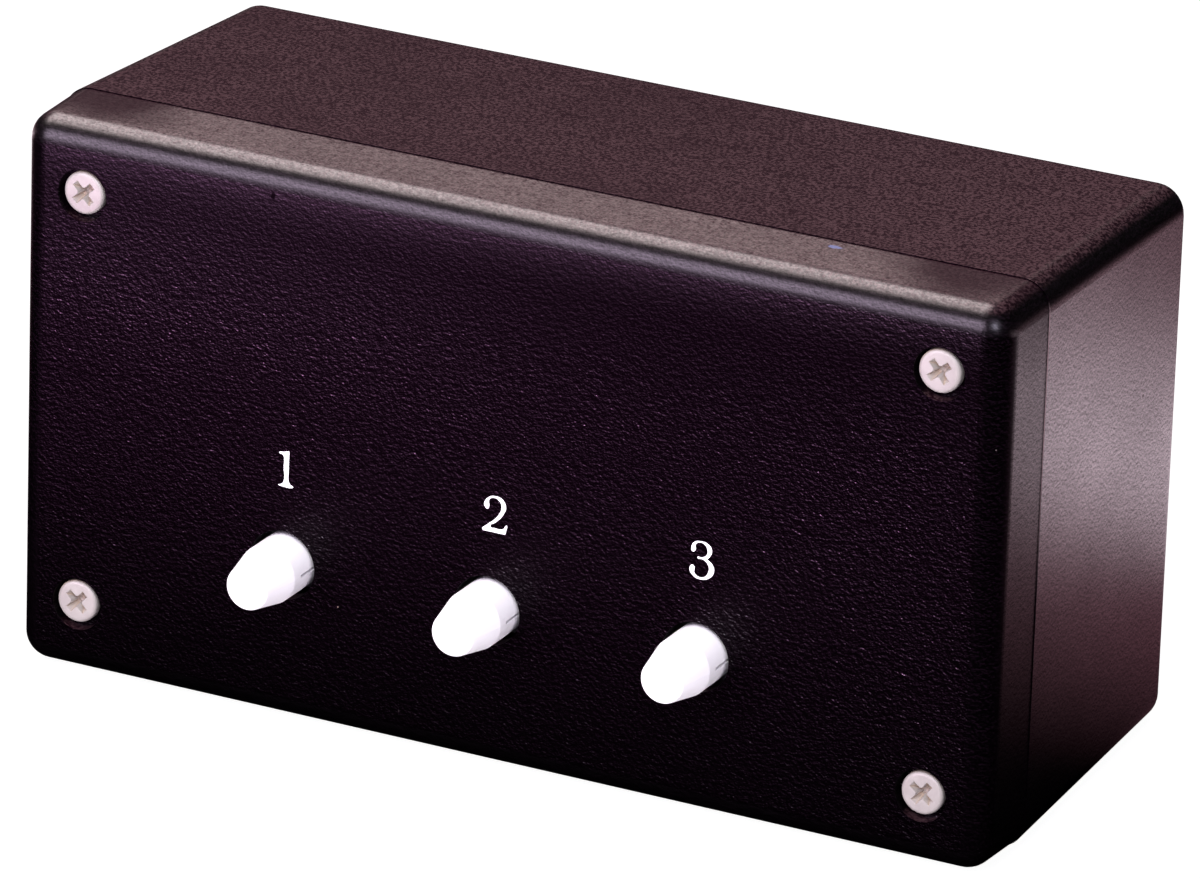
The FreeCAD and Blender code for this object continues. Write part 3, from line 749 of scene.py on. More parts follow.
@dataclass(frozen=True)
class PlatedMetal:
    """Bare or plated metal with drawing marks and small pits.

    Attributes:
        plating: the metal's colour.
        grain: how the drawing marks are stretched along each axis.
        roughness: the mean roughness.
        edge_mm: the edges' radius.
        metallic: how much of its light it reflects as metal.
        painted_recess_tone: how strongly its hollows are painted a warm tone that stands in for the light
            and shade seen in them.
    """

    plating: Plating
    grain: Point = (1.0, 1.0, 1.0)
    roughness: float = 0.3
    edge_mm: float = 0.08
    metallic: float = 1.0
    painted_recess_tone: float = 0.0

    def material(self, name: str) -> bpy.types.Material:
        """Makes the material.

        Args:
            name: its name.

        Returns:
            The material.
        """
        shader = Shader.named(name)
        place = shader.place()
        marks = shader.noise(place * self.grain, 2600.0, 3.0)
        clouds = shader.noise(place, 350.0, 3.0)
        pits = shader.specks(place, 900.0, 0.06, 0.2)
        bare = self.plating.value
        colour = shader.mix(clouds.ramp(0.35, 0.75), bare, toned(bare, (0.88, 0.86, 0.87)))
        colour = shader.mix(pits * 0.6, colour, toned(bare, (0.45, 0.42, 0.4)))
        # Painted light and shade: hollows found by occlusion are painted a warm tone.
        if self.painted_recess_tone:
            reach = {"Distance": PAINTED_RECESS_REACH_MM * MM}
            open_to = shader.node("ShaderNodeAmbientOcclusion", {"samples": 8}, reach, "AO")
            colour = shader.mix((1.0 - open_to.ramp(0.35, 0.95)) * self.painted_recess_tone, colour, PAINTED_RECESS_TONE)
        return shader.finish(
            {
                "Base Color": colour,
                "Metallic": self.metallic - pits * 0.25,
                "Roughness": self.roughness + (marks - 0.5) * 0.22 + (clouds - 0.5) * 0.12,
                "Normal": shader.bump(marks, 0.006, shader.rounded(self.edge_mm)),
            }
        )


@dataclass(frozen=True)
class MouldedPlastic:
    """Satin moulded plastic with faint flow marks.

    Attributes:
        colour: the plastic's colour.
        roughness: the mean roughness.
    """

    colour: Colour
    roughness: float = 0.45

    def material(self, name: str) -> bpy.types.Material:
        """Makes the material.

        Args:
            name: its name.

        Returns:
            The material.
        """
        shader = Shader.named(name)
        place = shader.place()
        flow = shader.noise(place * (1.0, 0.35, 1.0), 320.0, 3.0)
        skin = shader.noise(place, 2400.0, 2.0)
        deep = toned(self.colour, (0.78, 0.78, 0.8))
        return shader.finish(
            {
                "Base Color": shader.mix(flow.ramp(0.3, 0.75), self.colour, deep),
                "Roughness": self.roughness + (flow - 0.5) * 0.14,
                "Normal": shader.bump(skin, 0.012, shader.rounded(0.1)),
            }
        )


@dataclass(frozen=True)
class Laminate:
    """Green solder mask over a glass laminate, with copper tracks under it."""

    mask: Colour = (0.030, 0.155, 0.070)
    track: Colour = (0.075, 0.300, 0.130)

    def material(self, name: str) -> bpy.types.Material:
        """Makes the material.

        Args:
            name: its name.

        Returns:
            The material.
        """
        shader = Shader.named(name)
        place = shader.place()
        ways = shader.node(
            "ShaderNodeTexBrick",
            {"offset": 0.37, "offset_frequency": 2, "squash": 0.6, "squash_frequency": 3},
            {"Vector": place, "Scale": 300.0, "Mortar Size": 0.09, "Mortar Smooth": 0.1, "Row Height": 0.8},
            "Fac",
        )
        weave = (place.along(RIGHT) * 5200.0).wave() * (place.along((0.0, 0.7, 0.7)) * 5200.0).wave()
        tone = shader.noise(place, 180.0, 2.0)
        colour = shader.mix(ways * 0.8, self.mask, self.track)
        return shader.finish(
            {
                "Base Color": shader.mix(tone * 0.3, colour, (0.02, 0.09, 0.05)),
                "Roughness": 0.28 + tone * 0.12,
                "Normal": shader.bump(weave * 0.2 + ways, 0.02, shader.rounded(0.08)),
            }
        )


@dataclass(frozen=True)
class RibbonVinyl:
    """Ribbed grey vinyl with one marked conductor.

    Attributes:
        pitch_mm: the distance between conductors.
        marked_at_mm: the marked edge's place along X.
    """

    pitch_mm: float
    marked_at_mm: float

    def material(self, name: str) -> bpy.types.Material:
        """Makes the material.

        Args:
            name: its name.

        Returns:
            The material.
        """
        shader = Shader.named(name)
        place = shader.place()
        across = place.along(RIGHT) - self.marked_at_mm * MM
        ribs = (across * (2.0 * math.pi / (self.pitch_mm * MM))).wave()
        marked = across < self.pitch_mm * MM
        tone = shader.noise(place, 500.0, 3.0)
        colour = shader.mix(tone, (0.46, 0.47, 0.48), (0.52, 0.53, 0.54))
        return shader.finish(
            {
                "Base Color": shader.mix(marked * 0.85, colour, (0.45, 0.05, 0.05)),
                "Roughness": 0.42 + tone * 0.15,
                "Normal": shader.bump(ribs * -0.5 + 0.5, 0.25),
            }
        )


@dataclass(frozen=True)
class WhiteInk:
    """Screen-printed white ink that follows the grain under it."""

    colour: Colour = (0.93, 0.93, 0.95)

    def material(self, name: str) -> bpy.types.Material:
        """Makes the material.

        Args:
            name: its name.

        Returns:
            The material.
        """
        shader = Shader.named(name)
        place = shader.place()
        grain = shader.noise(place, 1150.0, 1.0) * 0.6 + shader.noise(place, 2900.0, 2.0) * 0.4
        return shader.finish(
            {
                "Base Color": shader.mix(grain.ramp(0.55, 0.8) * 0.5, self.colour, (0.78, 0.78, 0.84)),
                "Roughness": 0.5 + grain * 0.15,
                "Normal": shader.bump(grain, 0.02),
            }
        )


@dataclass(frozen=True)
class PaleFloor:
    """Plain pale paper that the camera sees as white, with the object's faint shadow.

    What the object's sides mirror is not the paper but a glow that only reflections see: a painted
    reflection, bright behind the object and in front of it, with painted shadow where it grows dark near the
    object.

    Attributes:
        behind: the colour that shines on the right side.
        dusk: the painted shadow's colour, where the glow behind grows dark near the object.
        before: the colour that shines on the front.
        beyond: the colour that shines on the front's rounded upper edge.
        white: how bright the camera sees the paper.
        shine: how bright the glow is.
        dusk_starts: where the glow behind rises from black to the painted shadow's colour, in metres behind
            the middle.
        behind_starts: where the glow's brighter part behind starts.
        behind_fades: where that part fades.
        behind_ends: where the glow behind ends in black.
        before_starts: where the glow in front rises out of the painted shadow near the object, in metres
            before the middle.
        before_widens: where that part grows stronger, in metres to the left of the middle.
        before_right: its slanting edge at the right.
        before_left: its slanting edge at the left.
        beyond_starts: where its colour changes.
    """

    behind: Colour = (0.92, 0.73, 0.82)
    dusk: Colour = (0.156, 0.064, 0.085)
    before: Colour = (0.95, 0.36, 0.86)
    beyond: Colour = (0.85, 0.68, 0.88)
    white: float = 1.06
    shine: float = 2.4
    dusk_starts: Span = (0.0, 0.075)
    behind_starts: Span = (0.062, 0.110)
    behind_fades: Span = (0.107, 0.184)
    behind_ends: Span = (0.21, 0.33)
    before_starts: Span = (0.062, 0.21)
    before_widens: Span = (-0.05, 0.13)
    before_right: Span = (0.088, 0.115)
    before_left: Span = (0.085, 0.12)
    beyond_starts: Span = (0.22, 0.40)

    def material(self, name: str) -> bpy.types.Material:
        """Makes the material.

        Args:
            name: its name.

        Returns:
            The material.
        """
        shader = Shader.named(name)
        place = shader.place()
        colour = shader.mix(shader.noise(place, 900.0, 4.0), (0.80, 0.80, 0.81), (0.84, 0.84, 0.85))
        paper = shader.node("ShaderNodeBsdfPrincipled", {}, {"Base Color": colour, "Roughness": 0.9})
        white = shader.node("ShaderNodeEmission", {}, {"Color": WHITE, "Strength": self.white})
        # Glossy rays see a shaped glow instead of the lit paper: a painted reflection on the object's sides.
        mirrored = {"Color": self._mirrored(shader, place), "Strength": self.shine}
        shine = shader.node("ShaderNodeEmission", {}, mirrored)
        seen = (shader.ray("Is Camera Ray") + shader.ray("Is Transmission Ray")) * 0.9
        ground = shader.blended(seen, paper, white)
        return shader.end(shader.blended(shader.ray("Is Glossy Ray"), ground, shine))

    def _mirrored(self, shader: Shader, place: Value) -> Value:
        """The colour of the glow that the object's sides mirror: a painted reflection, with painted shadow
        near the object.

        Args:
            shader: the shader.
            place: the point of the paper.

        Returns:
            The colour.
        """
        x, y = place.along(RIGHT), place.along(BACK)
        # Painted shadow: the glow is dark close to the object, behind it and in front of it, where the
        # object's shade would fall.
        far = y.ramp(*self.behind_starts) * (1.0 - y.ramp(*self.behind_fades) * 0.93)
        near = (-y).ramp(*self.before_starts) * ((-x).ramp(*self.before_widens) * 0.6 + 0.4)
        near = near * (1.0 - (x - y * 0.5).ramp(*self.before_right))
        near = near * (1.0 - (y * 0.5 - x).ramp(*self.before_left))
        bright = shader.mix(y.ramp(*self.dusk_starts), BLACK, self.dusk)
        bright = shader.mix(far, bright, self.behind)
        bright = shader.mix(y.ramp(*self.behind_ends), bright, BLACK)
        before = shader.mix((-y).ramp(*self.beyond_starts), self.before, self.beyond)
        return shader.mix(near, bright, before)


class Palette:
    """Every finish of the part, by slot."""

    def __init__(self, ribbon: RibbonVinyl) -> None:
        """Makes the materials.

        Args:
            ribbon: the ribbon cable's finish.
        """
        lid = GrainedPlastic(top_sheen=0.90, side_sheen=0.62, dull_places=DULL_PLACES, marks=LID_MARKS)
        # Painted light on the ledge at the seam: a light colour that stands in for the side's sheen and
        # hides the groove's shade.
        dust = PaintedSeamLight((0.17, 0.12, 0.128))
        case = GrainedPlastic(
            painted_seam_light=dust, front_sheen=0.0, top_sheen=0.04, side_sheen=1.0, marks=CASE_MARKS
        )
        screw = PlatedMetal(Plating.SATIN_NICKEL, roughness=0.46, edge_mm=0.18, metallic=0.35, painted_recess_tone=0.7)
        contact = PlatedMetal(Plating.TINNED_BRASS, (1.0, 0.2, 1.0), roughness=0.28, edge_mm=0.04)
        self.lid = lid.material("lid_plastic")
        self.ink = WhiteInk().material("white_ink")
        self.by_slot = {
            Slot.CASE: case.material("case_plastic"),
            Slot.CAP: GlossyCap().material("cap_plastic"),
            Slot.SCREW: screw.material("nickel_screw"),
            Slot.SHEET: PlatedMetal(Plating.ZINC, (0.15, 1.0, 1.0), 0.36).material("zinc_steel"),
            Slot.SPRING: PlatedMetal(Plating.STEEL, roughness=0.24, edge_mm=0.02).material("spring_wire"),
            Slot.CONTACT: contact.material("contact_brass"),
            Slot.PLUNGER: MouldedPlastic((0.80, 0.79, 0.74), 0.42).material("plunger_plastic"),
            Slot.SWITCH: MouldedPlastic((0.10, 0.16, 0.22), 0.45).material("switch_plastic"),
            Slot.BOARD: Laminate().material("board_laminate"),
            Slot.HEADER: MouldedPlastic((0.020, 0.020, 0.020), 0.5).material("header_plastic"),
            Slot.JACK: MouldedPlastic((0.030, 0.030, 0.032), 0.4).material("jack_plastic"),
            Slot.NUT: PlatedMetal(Plating.NICKEL, roughness=0.22, edge_mm=0.15).material("nickel_nut"),
            Slot.RIBBON: ribbon.material("ribbon_vinyl"),
        }

    def dress(self, node: str, slot: Slot, material: bpy.types.Material | None = None) -> None:
        """Gives a CAD node its finish.

        Args:
            node: the node's name.
            slot: its slot.
            material: a finish other than the slot's own.
        """
        mesh = frame["nodes"][node].data
        for index in range(len(mesh.materials)):
            mesh.materials[index] = material or self.by_slot[slot]
        log.info("dressed %s with %s", node, slot.value)


# Shapes


@dataclass(frozen=True)
class Lean:
    """The box's own axes, which lean back a little from the upright frame.

    In them x runs right, y into the box from the lid's face, and z up from the lid's middle, in millimetres.

    Attributes:
        origin: the middle of the lid's face, in the frame.
        right: the direction of x.
        into: the direction of y.
        up: the direction of z.
    """

    origin: Vector
    right: Vector
    into: Vector
    up: Vector

    @classmethod
    def of_frame(cls) -> "Lean":
        """Reads the axes from the frame: from a button's slide and the lid's reach.

        Returns:
            The axes.
        """
        joint = next(joint for joint in frame["joints"] if joint["name"] == "button_1_press")
        into = Vector(joint["axis"]).normalized()
        right = Vector((1.0, 0.0, 0.0))
        up = right.cross(into)
        corners = [vertex.co for vertex in frame["nodes"]["front_lid"].data.vertices]
        face = min(corner.dot(into) for corner in corners)
        heights = [corner.dot(up) for corner in corners]
        return cls(into * face + up * (min(heights) + max(heights)) / 2.0, right, into, up)

    def at(self, point: Iterable[float]) -> Vector:
        """A point of the box in the frame.

        Args:
            point: x, y and z in millimetres.

        Returns:
            The point in metres.
        """
        x, y, z = point
        return self.origin + (self.right * x + self.into * y + self.up * z) * MM

    def span(self, node: str) -> tuple[Vector, Vector]:
        """The lowest and highest corner of a CAD node along the box's axes.

        Args:
            node: the node's name.

        Returns:
            Both corners, in millimetres.
        """
        steps = [vertex.co - self.origin for vertex in frame["nodes"][node].data.vertices]
        places = [(s.dot(self.right) / MM, s.dot(self.into) / MM, s.dot(self.up) / MM) for s in steps]
        return Vector(map(min, zip(*places))), Vector(map(max, zip(*places)))


class Form:
    """A mesh in the box's own axes, in millimetres, built step by step."""

    def __init__(self) -> None:
        """Starts an empty mesh."""
        self.mesh = bmesh.new()

    def ring(self, points: Iterable[Point]) -> list[bmesh.types.BMVert]:
        """Adds a ring of points.

        Args:
            points: the ring's points.

        Returns:
            Its vertices.
        """
        return [self.mesh.verts.new(point) for point in points]

    def skin(self, rings: Sequence[Sequence[bmesh.types.BMVert]], closed: bool = False) -> "Form":
        """Joins rings by faces and closes both ends.

        Args:
            rings: rings of the same number of points.
            closed: whether the last ring joins the first, with no ends.

        Returns:
            This form.
        """
        pairs = list(zip(rings, rings[1:]))
        if closed:
            pairs.append((rings[-1], rings[0]))
        for one, other in pairs:
            count = len(one)
            for index in range(count):
                after = (index + 1) % count
                self.mesh.faces.new((one[index], one[after], other[after], other[index]))
        if not closed:
            self.mesh.faces.new(list(reversed(rings[0])))
            self.mesh.faces.new(rings[-1])
        bmesh.ops.recalc_face_normals(self.mesh, faces=self.mesh.faces)
        return self

    def turned(self, profile: Sequence[tuple[float, float]], sides: int, closed: bool = False) -> "Form":
        """Turns a profile about the y axis.

        Args:
            profile: radius and depth of each point.
            sides: how many sides the round has.
            closed: whether the profile closes on itself, as a washer's does.

        Returns:
            This form.
        """
        angles = [2.0 * math.pi * step / sides for step in range(sides)]
        rings = [
            self.ring((radius * math.cos(a), depth, radius * math.sin(a)) for a in angles)
            for radius, depth in profile
        ]
        return self.skin(rings, closed)

    def tube(self, path: Sequence[Vector], radius: float, sides: int) -> "Form":
        """Lays a round wire along a path.

        Args:
            path: the points of its middle line.
            radius: the wire's radius.
            sides: how many sides the wire has.

        Returns:
            This form.
        """
        rings = []
        side = (path[1] - path[0]).orthogonal().normalized()
        for index, point in enumerate(path):
            ahead = (path[min(index + 1, len(path) - 1)] - path[max(index - 1, 0)]).normalized()
            side = (side - ahead * side.dot(ahead)).normalized()
            other = ahead.cross(side)
            angles = [2.0 * math.pi * step / sides for step in range(sides)]
            round_it = [side * math.cos(a) + other * math.sin(a) for a in angles]
            rings.append(self.ring(point + away * radius for away in round_it))
        return self.skin(rings)

    def prism(self, outline: Sequence[tuple[float, float]], front: float, back: float) -> "Form":
        """Raises an outline between two depths.

        Args:
            outline: x and z of its corners.
            front: the first depth.
            back: the second depth.

        Returns:
            This form.
        """
        return self.skin([self.ring((x, depth, z) for x, z in outline) for depth in (front, back)])

    def moved(self, matrix: Matrix) -> "Form":
        """Moves all points so far.

        Args:
            matrix: the movement.

        Returns:
            This form.
        """
        bmesh.ops.transform(self.mesh, matrix=matrix, verts=self.mesh.verts)
        return self

    def data(self, name: str) -> bpy.types.Mesh:
        """Ends the form as a mesh.

        Args:
            name: the mesh's name.

        Returns:
            The mesh, still in the box's own axes.
        """
        data = bpy.data.meshes.new(name)
        self.mesh.to_mesh(data)
        self.mesh.free()
        return data


def combined(
    name: str, base: bpy.types.Mesh, tools: Sequence[bpy.types.Mesh], operation: str
) -> bpy.types.Mesh:
    """Cuts tools out of a mesh, or keeps what is inside them.

    Args:
        name: the new mesh's name.
        base: the mesh that is changed.
        tools: the tools.
        operation: the boolean modifier's operation.

    Returns:
        The new mesh.
    """
    holder = bpy.data.objects.new(name, base)
    bpy.context.scene.collection.objects.link(holder)
    helpers = []
    for tool in tools:
        helper = bpy.data.objects.new(f"{name}_tool", tool)
        bpy.context.scene.collection.objects.link(helper)
        step = holder.modifiers.new("cut", "BOOLEAN")
        step.operation = operation
        step.solver = "EXACT"
        step.object = helper
        helpers.append(helper)
    graph = bpy.context.evaluated_depsgraph_get()
    result = bpy.data.meshes.new_from_object(holder.evaluated_get(graph), depsgraph=graph)
    for done in (holder, *helpers):
        bpy.data.objects.remove(done)
    result.name = name
    return result


def piece(
    name: str,
    data: bpy.types.Mesh,
    place: Matrix,
    material: bpy.types.Material,
    body: str,
    angle: float = 35.0,
) -> bpy.types.Object:
    """Puts a mesh in the frame as one piece of the part.

    Args:
        name: the piece's name.
        data: its mesh.
        place: brings the mesh into the frame, in metres.
        material: its finish.
        body: the CAD body that it moves with.
        angle: edges sharper than this many degrees stay sharp.

    Returns:
        The piece.
    """
    data.transform(place)
    data.materials.clear()
    data.materials.append(material)
    data.polygons.foreach_set("use_smooth", [True] * len(data.polygons))
    data.set_sharp_from_angle(angle=math.radians(angle))
    data.name = name
    item = bpy.data.objects.new(name, data)
    bpy.context.scene.collection.objects.link(item)
    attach(item, body)
    log.info("built %s in %s, %d faces", name, material.name, len(data.polygons))
    return item


def in_box(lean: Lean, x: float = 0.0, y: float = 0.0, z: float = 0.0, turn: float = 0.0) -> Matrix:
    """Brings a form from the box's own axes into the frame.

    Args:
        lean: the box's axes.
        x: how far the form's origin stands to the right.
        y: how far it stands into the box.
        z: how far it stands up.
        turn: how far it is turned about its y axis, in degrees.

    Returns:
        The matrix.
    """
    axes = Matrix((lean.right, lean.into, lean.up)).transposed().to_4x4()
    place = Matrix.Translation(lean.at((x, y, z))) @ axes @ Matrix.Scale(MM, 4)
    return place @ Matrix.Rotation(math.radians(turn), 4, "Y")


# Sub-assemblies


@dataclass
class Enclosure:
    """The lid and the rear case."""

    palette: Palette

    def build(self) -> None:
        """Dresses both mouldings."""
        self.palette.dress("front_lid", Slot.CASE, self.palette.lid)
        self.palette.dress("rear_case", Slot.CASE)


@dataclass
class LidScrews:
    """Four pan-head screws with cross recesses, each a little off the middle of its counterbore.

    Attributes:
        lean: the box's axes.
        palette: the finishes.
        head_radius: the head's radius, in millimetres like all sizes here.
        head_height: the head's height.
        rim: the radius of the head's rounded rim.
        dome: how far the rim stands back from the head's face.
        shank_radius: the radius between the threads.
        thread_radius: the radius over the threads.
        thread_pitch: the distance between the threads.
        point: the length of the tapered end.
        turns: how far each screw is turned, in degrees.
        plays: how far each screw stands off its counterbore's middle, to the right and up.
        wing: depth, half length and half width of the recess's slots at three places.
        middle: radius and depth of the recess's middle.
    """

    lean: Lean
    palette: Palette
    head_radius: float = 3.1
    head_height: float = 1.5
    rim: float = 0.55
    dome: float = 0.02
    shank_radius: float = 1.55
    thread_radius: float = 1.75
    thread_pitch: float = 1.27
    point: float = 2.4
    turns: tuple[float, ...] = (47.0, 52.0, 38.0, 44.0)
    plays: tuple[tuple[float, float], ...] = ((0.0, 0.2), (-0.2, 0.2), (0.0, 0.15), (-0.2, 0.2))
    wing: tuple[Point, ...] = ((-0.4, 2.06, 0.60), (0.0, 1.88, 0.50), (1.6, 0.90, 0.24))
    middle: tuple[tuple[float, float], ...] = ((1.02, -0.4), (0.94, 0.0), (0.52, 1.8), (0.04, 2.1))

    def build(self) -> None:
        """Builds the screws in place of the CAD's plain ones."""
        low, high = self.lean.span("lid_screws")
        x, z = high.x - self.head_radius, high.z - self.head_radius
        length = high.y - low.y
        places = ((-x, z), (x, z), (x, -z), (-x, -z))
        finish = self.palette.by_slot[Slot.SCREW]
        screws = []
        for number, ((px, pz), (dx, dz), turn) in enumerate(zip(places, self.plays, self.turns), 1):
            place = in_box(self.lean, px + dx, low.y, pz + dz, turn)
            screw = self._screw(length)
            screws.append(piece(f"lid_screw_{number}", screw, place, finish, "housing", 28.0))
        for screw in screws:
            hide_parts("lid_screws")

    def _screw(self, length: float) -> bpy.types.Mesh:
        """One screw with its face at the origin.

        Args:
            length: its whole length.

        Returns:
            The mesh.
        """
        blank = Form().turned([*self._head(), *self._thread(length)], 72).data("screw_blank")
        return combined("screw", blank, [*self._slots(), self._socket()], "DIFFERENCE")

    def _head(self) -> list[tuple[float, float]]:
        """The head's profile, from its middle over the rounded rim to the shank.

        Returns:
            Radius and depth of each point.
        """
        flat = self.head_radius - self.rim
        profile = [(0.02, 0.0), (flat - 0.07, self.dome)]
        for step in range(7):
            a = math.radians(15.0 + 12.5 * step)
            profile.append((flat + self.rim * math.sin(a), self.rim * (1.0 - math.cos(a)) + self.dome))
        profile += [(self.head_radius, self.head_height - 0.12), (self.head_radius - 0.12, self.head_height)]
        return [*profile, (self.shank_radius, self.head_height)]

    def _thread(self, length: float) -> list[tuple[float, float]]:
        """The shank's profile with its threads and its point.

        Args:
            length: the screw's whole length.

        Returns:
            Radius and depth of each point.
        """
        ridge = (
            (self.shank_radius, 0.0),
            (self.thread_radius, 0.42),
            (self.thread_radius, 0.5),
            (self.shank_radius, 0.92),
        )
        profile = []
        depth = self.head_height + 0.8
        while depth < length - self.point - 0.8:
            profile += [(radius, depth + self.thread_pitch * turn) for radius, turn in ridge]
            depth += self.thread_pitch
        return [*profile, (self.shank_radius, length - self.point), (0.35, length - 0.1), (0.05, length)]

    def _slots(self) -> list[bpy.types.Mesh]:
        """The two tapered slots of the cross recess.

        Returns:
            Their meshes.
        """
        tools = []
        for turn in (0.0, 90.0):
            form = Form()
            rings = []
            for depth, half_length, half_width in self.wing:
                signs = ((-1, -1), (1, -1), (1, 1), (-1, 1))
                rings.append(form.ring((half_length * x, depth, half_width * z) for x, z in signs))
            form.skin(rings).moved(Matrix.Rotation(math.radians(turn), 4, "Y"))
            tools.append(form.data("wing"))
        return tools

    def _socket(self) -> bpy.types.Mesh:
        """The recess's tapered middle."""
        turn = Matrix.Rotation(math.radians(22.5), 4, "Y")
        return Form().turned(self.middle, 8).moved(turn).data("socket")


@dataclass(frozen=True)
class Glyph:
    """The outline of one printed number, drawn by smooth curves through its points.

    Attributes:
        points: x from the number's middle line and z from the lid's middle, in millimetres.
        corners: the points that stay sharp.
    """

    points: tuple[tuple[float, float], ...]
    corners: tuple[int, ...]


GLYPHS: tuple[Glyph, ...] = (
    Glyph(
        (
            (-1.91, -1.00), (-1.75, -0.80), (-1.09, -0.72), (-0.60, -0.58), (-0.17, -0.50), (-0.07, -0.66),
            (-0.12, -3.82), (-0.12, -4.77), (0.13, -5.38), (0.60, -5.62), (0.62, -5.84), (0.37, -6.03),
            (-1.45, -6.07), (-1.93, -5.98), (-1.93, -5.77), (-1.31, -5.45), (-1.09, -5.06), (-1.13, -3.09),
            (-1.12, -1.76), (-1.23, -1.42), (-1.75, -1.24),
        ),
        (0, 1, 3, 4, 5, 12, 13),
    ),
    Glyph(
        (
            (-1.33, -2.79), (-1.76, -2.52), (-1.95, -2.03), (-1.27, -0.86), (-0.23, -0.47), (1.05, -0.78),
            (1.65, -1.83), (1.24, -3.15), (0.01, -4.58), (-0.62, -5.10), (-0.21, -5.13), (0.91, -5.12),
            (1.22, -4.92), (1.47, -4.50), (1.72, -4.40), (1.90, -4.62), (1.79, -5.28), (1.63, -6.02),
            (-1.91, -6.02), (-2.13, -5.72), (-1.39, -4.88), (-0.34, -3.96), (0.43, -2.98), (0.74, -2.02),
            (0.38, -1.27), (-0.39, -1.00), (-0.95, -1.37), (-0.90, -2.04), (-1.07, -2.66),
        ),
        (17, 18),
    ),
    Glyph(
        (
            (-1.83, -2.46), (-2.15, -2.31), (-2.25, -1.95), (-1.92, -0.95), (-0.70, -0.50), (0.66, -0.88),
            (1.10, -1.75), (0.77, -2.72), (0.49, -3.03), (1.23, -3.62), (1.50, -4.68), (0.85, -5.75),
            (-0.45, -6.26), (-1.79, -5.92), (-2.42, -4.88), (-1.97, -4.12), (-1.63, -4.22), (-1.42, -4.55),
            (-1.45, -5.00), (-1.41, -5.33), (-0.47, -5.70), (0.37, -4.98), (0.35, -3.88), (-0.39, -3.32),
            (-1.17, -3.27), (-1.30, -3.03), (-1.18, -2.83), (-0.53, -2.80), (0.09, -2.37), (0.12, -1.52),
            (-0.50, -0.98), (-1.27, -1.18), (-1.37, -1.55), (-1.33, -1.90), (-1.45, -2.24),
        ),
        (8,),
    ),
)


@dataclass
class Numerals:
    """The printed numbers over the buttons.

    Attributes:
        lean: the box's axes.
        palette: the finishes.
        raised: how far the ink stands on the lid, in millimetres.
        sunk: how far it reaches into the lid.
        swell: how much wider the strokes are than the outlines.
        aside: how far to the right of its button each number stands.
    """

    lean: Lean
    palette: Palette
    raised: float = 0.03
    sunk: float = 0.03
    swell: float = -0.12
    aside: float = 1.0

    def build(self) -> None:
        """Prints the three numbers on the lid."""
        for number, glyph in enumerate(GLYPHS, 1):
            low, high = self.lean.span(f"button_{number}")
            middle = (low.x + high.x) / 2.0
            place = in_box(self.lean, middle + self.aside, (self.sunk - self.raised) / 2.0)
            self._print(f"numeral_{number}", glyph, place)

    def _print(self, name: str, glyph: Glyph, place: Matrix) -> None:
        """Prints one number.

        Args:
            name: the piece's name.
            glyph: its outline.
            place: brings it over its button.
        """
        curve = bpy.data.curves.new(name, "CURVE")
        curve.dimensions = "2D"
        curve.fill_mode = "BOTH"
        curve.resolution_u = 6
        curve.extrude = (self.raised + self.sunk) / 2.0
        curve.offset = self.swell
        spline = curve.splines.new("BEZIER")
        spline.bezier_points.add(len(glyph.points) - 1)
        spline.use_cyclic_u = True
        for index, (point, (x, z)) in enumerate(zip(spline.bezier_points, glyph.points)):
            point.co = (x, z, 0.0)
            kind = "VECTOR" if index in glyph.corners else "AUTO"
            point.handle_left_type = kind
            point.handle_right_type = kind
        holder = bpy.data.objects.new(name, curve)
        bpy.context.scene.collection.objects.link(holder)
        graph = bpy.context.evaluated_depsgraph_get()
        data = bpy.data.meshes.new_from_object(holder.evaluated_get(graph), depsgraph=graph)
        bpy.data.objects.remove(holder)
        upright = Matrix.Rotation(math.radians(90.0), 4, "X")
        piece(name, data, place @ upright, self.palette.ink, "housing", 30.0)


@dataclass
class ButtonRow:
    """The three push-on caps and the plungers that carry them."""

    palette: Palette

    def build(self) -> None:
        """Dresses the caps and the plungers."""
        for number in (1, 2, 3):
            self.palette.dress(f"button_{number}", Slot.CAP)
            self.palette.dress(f"plunger_{number}", Slot.PLUNGER)


SPRING_STEPS = 28
CLOSED_TURNS = 0.8


